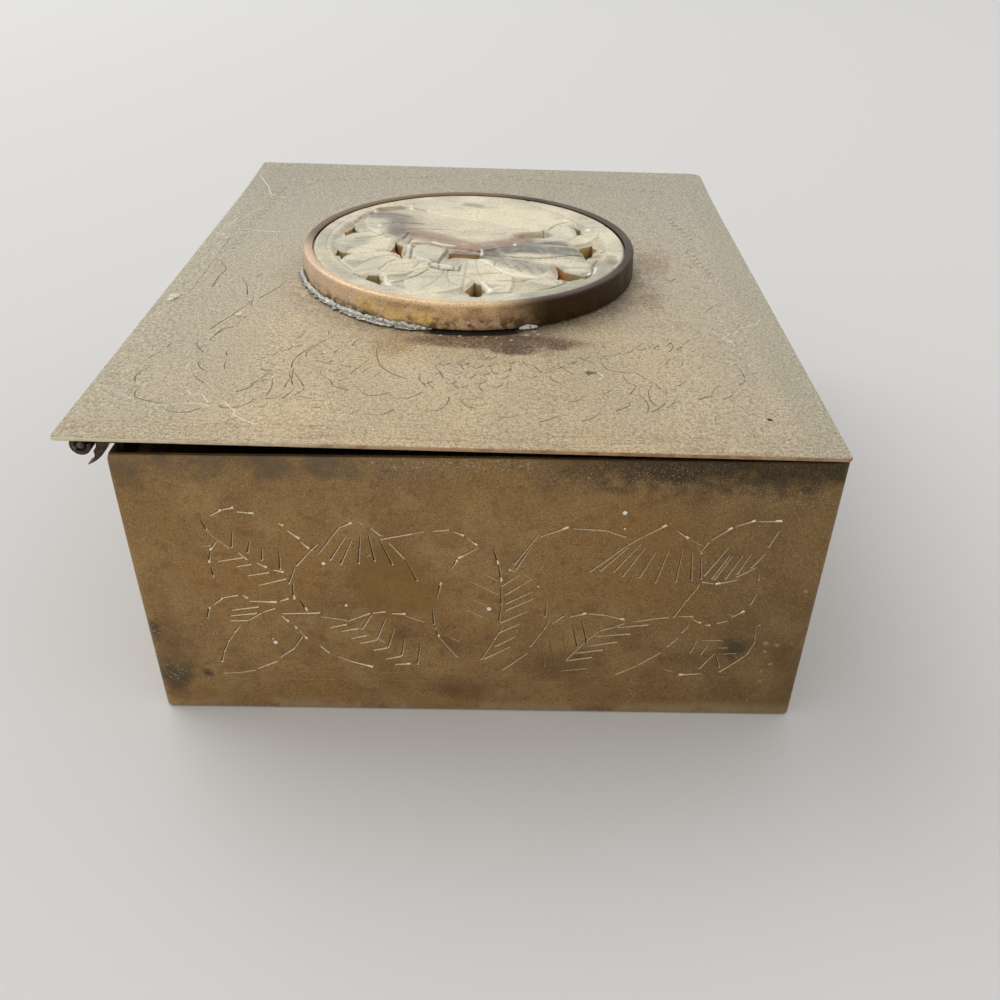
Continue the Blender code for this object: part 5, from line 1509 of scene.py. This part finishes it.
def bezel_brass():
    look = Look("copper_brown_bezel", metallic=0.4)
    cloud = look.noise(0.3, 5.0, stretch=(1.0, 1.0, 1.6))
    grain = look.noise(3.2, 5.0, 0.7)
    centre = over_lid(BEZEL_HEIGHT / 2)
    look.ground(cloud, 0.35, 0.65, (0.6, 0.39, 0.21), (0.93, 0.64, 0.35))
    # Painted light: the band turns paler towards its left side.
    pale = look.along(0, centre.x - 8.0, centre.x - 20.0, 0.0, 0.6)
    look.paint(pale, (0.86, 0.68, 0.5))
    lip = look.along(2, centre.z + 1.5, centre.z + 2.0)
    pinkish = look.mix(look.along(0, centre.x - 28.0, centre.x - 14.0), (0.8, 0.6, 0.45), (0.98, 0.7, 0.42))
    look.paint(lip, pinkish, 0.7)

    def at(across, low, *shape):
        """A spot on the band's near side: across from its middle and up from its half height."""
        deep = math.sqrt(BEZEL_RADIUS ** 2 - across ** 2)
        return look.spot((centre.x + across, centre.y - deep, centre.z + low), *shape)

    look.paint(at(-15.5, -0.6, 2.4, 0.8, 0.5), (0.16, 0.12, 0.05), 0.75)
    look.paint(at(3.0, -0.9, 2.8, 0.9, 0.5, (0.8, 0.8, 1.6)), (0.7, 0.42, 0.31), 0.6)
    foot = look.along(2, centre.z - 1.4, centre.z - 2.1)
    look.paint(look.times(foot, look.span(cloud, 0.4, 0.6, 0.2, 0.7)), (0.12, 0.075, 0.04))
    look.wash(grain, 0.5, 0.66, 0.55, (0.16, 0.1, 0.06))
    look.wash(grain, 0.46, 0.34, 0.4, (0.9, 0.66, 0.42))
    low = look.times(
        look.along(2, centre.z + 0.8, centre.z - 1.2),
        look.span(look.noise(0.7, 5.0, 0.65, shift=5.0), 0.44, 0.58, 0.0, 0.8),
    )
    look.paint(low, (0.13, 0.075, 0.032))
    # Golden patches on the front left, partly worn-through brass and partly painted highlight on the lit side.
    golden_wear_and_highlight = look.most(
        at(-11.0, -0.6, 2.2, 0.7, 0.6, (0.8, 0.8, 1.3)), at(-6.0, -0.4, 1.7, 0.5, 0.4, (0.8, 0.8, 1.3)),
        at(-15.0, 0.2, 2.2, 0.9, 0.6, (0.7, 0.7, 1.5)),
    )
    worn = look.span(look.noise(1.5, 4.0, 0.7, shift=41.0), 0.4, 0.55, 0.3, 0.95)
    look.paint(look.times(golden_wear_and_highlight, worn), (1.0, 0.69, 0.24))
    # Painted shade: the band's right side goes near black.
    shaded = look.along(0, centre.x + 2.0, centre.x + 14.0)
    look.paint(shaded, (0.028, 0.012, 0.003), 0.97)
    # Painted shade: the far half of the band is darker.
    back = look.along(1, centre.y - 9.0, centre.y + 3.0)
    look.paint(back, (0.1, 0.068, 0.042), 0.8)
    grey_lip = look.times(lip, look.along(0, centre.x + 8.0, centre.x + 18.0))
    look.paint(grey_lip, (0.17, 0.125, 0.12), 0.7)
    look.set(Specular_IOR_Level=0.12)
    return look.finish(look.span(cloud, 0.3, 0.7, 0.34, 0.5), ((look.noise(1.2, 4.0), 0.09), (grain, 0.07)))


def hinge_brass():
    look = Look("dark_hinge_brass", metallic=0.5)
    cloud = look.noise(1.6, 5.0)
    look.ground(cloud, 0.38, 0.62, (0.03, 0.018, 0.012), (0.085, 0.052, 0.03))
    look.paint(look.span(look.noise(5.0, 4.0), 0.6, 0.72), (0.17, 0.11, 0.065))
    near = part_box("box_hinge_leaf")[0].y / MM

    def at(across, up, size):
        return look.spot((across, near, up), size, 0.5, 0.4, (1.0, 0.25, 1.0))

    # Painted highlights: pale tan patches on the hinge's near end, where the curled knuckle catches the light.
    end_highlight = look.spots(at, (
        (-48.9, 45.5, 0.42), (-48.3, 45.5, 0.4), (-48.05, 45.1, 0.32), (-49.1, 44.65, 0.36), (-47.2, 44.6, 0.3),
    ))
    look.paint(end_highlight, (0.5, 0.34, 0.19), 0.9)
    return look.finish(look.span(cloud, 0.3, 0.7, 0.42, 0.6), ((look.noise(2.6, 5.0), 0.07),))


def pin_wire():
    look = Look("dull_pin_wire", metallic=0.6)
    cloud = look.noise(2.0, 4.0)
    look.ground(cloud, 0.4, 0.65, (0.05, 0.036, 0.026), (0.15, 0.115, 0.085))
    return look.finish(look.span(cloud, 0.3, 0.7, 0.4, 0.6), ((look.noise(3.0, 3.0), 0.02),))


def solder_metal():
    look = Look("oxidised_solder", metallic=0.4)
    cloud = look.noise(1.6, 6.0, 0.7)
    look.ground(cloud, 0.4, 0.56, (0.24, 0.225, 0.19), (0.72, 0.71, 0.65))
    centre = over_lid(0.0)
    away = look.distance(centre)
    groove_line = look.times(look.span(away, 30.1, 30.35), look.span(away, 30.8, 30.5))
    look.paint(groove_line, (0.12, 0.11, 0.095), 0.7)
    # Painted glints: small near-white flecks over the solder.
    look.paint(look.span(look.noise(3.4, 4.0), 0.56, 0.66), (1.0, 0.98, 0.92))
    return look.finish(look.span(cloud, 0.3, 0.7, 0.38, 0.7), ((look.noise(2.6, 6.0), 0.18),))


def carved_stone():
    look = Look("carved_stone")
    cloud = look.noise(0.13, 5.0)
    look.ground(cloud, 0.38, 0.64, (0.7, 0.63, 0.46), (0.9, 0.8, 0.56))
    green = look.span(look.noise(0.1, 4.0, shift=20.0), 0.48, 0.66)
    look.paint(green, (0.6, 0.6, 0.46), 0.6)
    centre = over_lid(BEZEL_HEIGHT)
    top = look.spot((centre.x + 3.0, centre.y + 14.0, centre.z), 15.0, 0.9, 0.2, (1.0, 1.3, 1.0))
    look.paint(top, (0.94, 0.82, 0.56), 0.75)
    veins = look.noise(0.3, 6.0, 0.62, stretch=(0.4, 1.6, 1.0), turn=0.55)
    look.wash(veins, 0.52, 0.66, 0.45, (0.4, 0.34, 0.24))
    grain = look.noise(2.6, 5.0, 0.75)
    look.wash(grain, 0.5, 0.66, 0.6, (0.32, 0.28, 0.195))
    look.wash(grain, 0.46, 0.34, 0.35, (1.0, 0.94, 0.76))
    mottle = look.span(look.noise(0.6, 5.0, shift=60.0), 0.3, 0.58, 0.66, 1.0)
    for name, tint, share in (
        ("pink", (0.34, 0.175, 0.105), 0.85), ("grey", (0.165, 0.155, 0.135), 0.92),
        ("brown", (0.23, 0.15, 0.075), 0.9), ("streak", (0.3, 0.22, 0.16), 0.55),
    ):
        look.paint(look.times(look.attribute(name), mottle, share), tint)
    # Painted highlights along the carved edges and ridges.
    look.paint(look.attribute("light"), (1.0, 0.93, 0.76), 0.85)
    # Dirt and painted shade in the cuts, the gaps between the forms and at the forms' feet.
    darkening = look.times(look.attribute("dirt_and_shade"), look.span(look.noise(0.8, 4.0), 0.3, 0.55, 0.5, 1.0))
    look.paint(darkening, (0.12, 0.092, 0.055), 0.88)
    look.paint(look.attribute("chip"), (1.0, 0.98, 0.9), 0.95)
    # Painted light and shade in the piercings: their walls glow amber near the top, where light passes through the
    # stone, and fade to near black further down.
    wall = look.attribute("wall")
    amber = look.mix(look.span(look.noise(0.35, 3.0), 0.42, 0.58), (0.5, 0.42, 0.2), (0.72, 0.38, 0.14))
    amber = look.mix(look.span(wall, 0.4, 1.0), amber, (0.035, 0.024, 0.012))
    look.paint(look.span(wall, 0.0, 0.12), amber)
    flaws = look.span(look.noise(0.9, 5.0, 0.7, shift=80.0), 0.58, 0.7, 0.0, 0.38)
    look.paint(look.times(flaws, look.span(wall, 0.2, 0.0)), (0.34, 0.28, 0.19))
    roughness = look.span(cloud, 0.3, 0.7, 0.28, 0.42)
    scrapes = look.noise(1.4, 4.0, stretch=(0.35, 1.8, 1.0), turn=0.4)
    bumps = ((look.noise(0.8, 5.0), 0.08), (scrapes, 0.07), (grain, 0.04))
    look.set(Subsurface_Weight=0.06, Subsurface_Radius=(1.0, 0.7, 0.4), Subsurface_Scale=0.6 * MM)
    return look.finish(roughness, bumps)


def lining_wood(name, grain_x, grain_y):
    """Wood whose grain is stretched along one of the two ways."""
    look = Look(name)
    grain = look.noise(0.9, 6.0, stretch=(grain_x, grain_y, 1.0))
    pores = look.noise(5.0, 3.0, stretch=(grain_x, grain_y, 1.0), shift=12.0)
    look.ground(grain, 0.35, 0.65, (0.2, 0.1, 0.045), (0.38, 0.21, 0.1))
    look.paint(look.span(pores, 0.6, 0.72), (0.1, 0.05, 0.025))
    # Painted shade: the boards go near black at the near end's top, in the gap under the lid.
    dark_near_rim = look.times(
        look.along(1, CASE_LOW.y + 6.0, CASE_LOW.y + 3.5), look.along(2, CASE_HEIGHT - 3.5, CASE_HEIGHT - 1.5),
    )
    look.paint(dark_near_rim, (0.02, 0.012, 0.008), 0.9)
    return look.finish(look.span(grain, 0.3, 0.7, 0.5, 0.68), ((grain, 0.05), (pores, 0.03)))


def build_object():
    walls = case_brass()
    hinge = hinge_brass()
    wood = lining_wood("lining_wood", 1.0, 0.06)
    ends = lining_wood("lining_wood_ends", 0.06, 1.0)
    build_walls(walls)
    build_lid_plate(lid_brass())
    build_bezel(bezel_brass())
    build_solder(solder_metal())
    build_stone(carved_stone())
    dress("base_plate", walls)
    dress("box_hinge_leaf", hinge)
    dress("lid_hinge_leaf", hinge)
    dress("hinge_pin", pin_wire())
    for board in ("hinge_side", "opening_side", "near_end", "far_end", "floor"):
        dress("lining_" + board, ends if board.endswith("end") else wood)
    dress("lid_lining", wood)


# Camera, floor and light

def build_camera():
    data = bpy.data.cameras.new("camera")
    data.sensor_fit = "HORIZONTAL"
    data.sensor_width = SENSOR
    data.lens = FOCAL_PIXELS * SENSOR / PHOTO_PIXELS
    data.clip_start, data.clip_end = CLIP
    camera = bpy.data.objects.new("camera", data)
    bpy.context.scene.collection.objects.link(camera)
    turn = (
        Matrix.Rotation(CAMERA_YAW, 3, "Z")
        @ Matrix.Rotation(-CAMERA_PITCH, 3, "X")
        @ Matrix.Rotation(CAMERA_ROLL, 3, "Y")
    )
    columns = Matrix((turn.col[0], turn.col[2], -turn.col[1])).transposed()
    camera.matrix_world = Matrix.Translation(CAMERA_PLACE) @ columns.to_4x4()
    bpy.context.scene.camera = camera


def add_area_light(name, place, size, energy):
    light = bpy.data.lights.new(name, "AREA")
    light.size = size
    light.energy = energy
    lamp = bpy.data.objects.new(name, light)
    lamp.location = place
    lamp.rotation_euler = (-Vector(place)).to_track_quat("-Z", "Y").to_euler()
    bpy.context.scene.collection.objects.link(lamp)


def build_stage():
    bpy.ops.mesh.primitive_plane_add(size=FLOOR_SIZE, location=(0.0, 0.0, -FLOOR_DROP * MM))
    floor = bpy.context.active_object
    floor.name = "floor"
    material = bpy.data.materials.new("floor")
    material.use_nodes = True
    shader = material.node_tree.nodes["Principled BSDF"]
    shader.inputs["Base Color"].default_value = FLOOR_COLOUR
    shader.inputs["Roughness"].default_value = 0.85
    floor.data.materials.append(material)
    world = bpy.data.worlds.new("world")
    world.use_nodes = True
    background = world.node_tree.nodes["Background"]
    background.inputs["Color"].default_value = (1.0, 1.0, 1.0, 1.0)
    background.inputs["Strength"].default_value = SKY_STRENGTH
    bpy.context.scene.world = world
    add_area_light("window", *WINDOW)


build_object()
build_camera()
build_stage()
bpy.context.scene.view_settings.view_transform = "Standard"
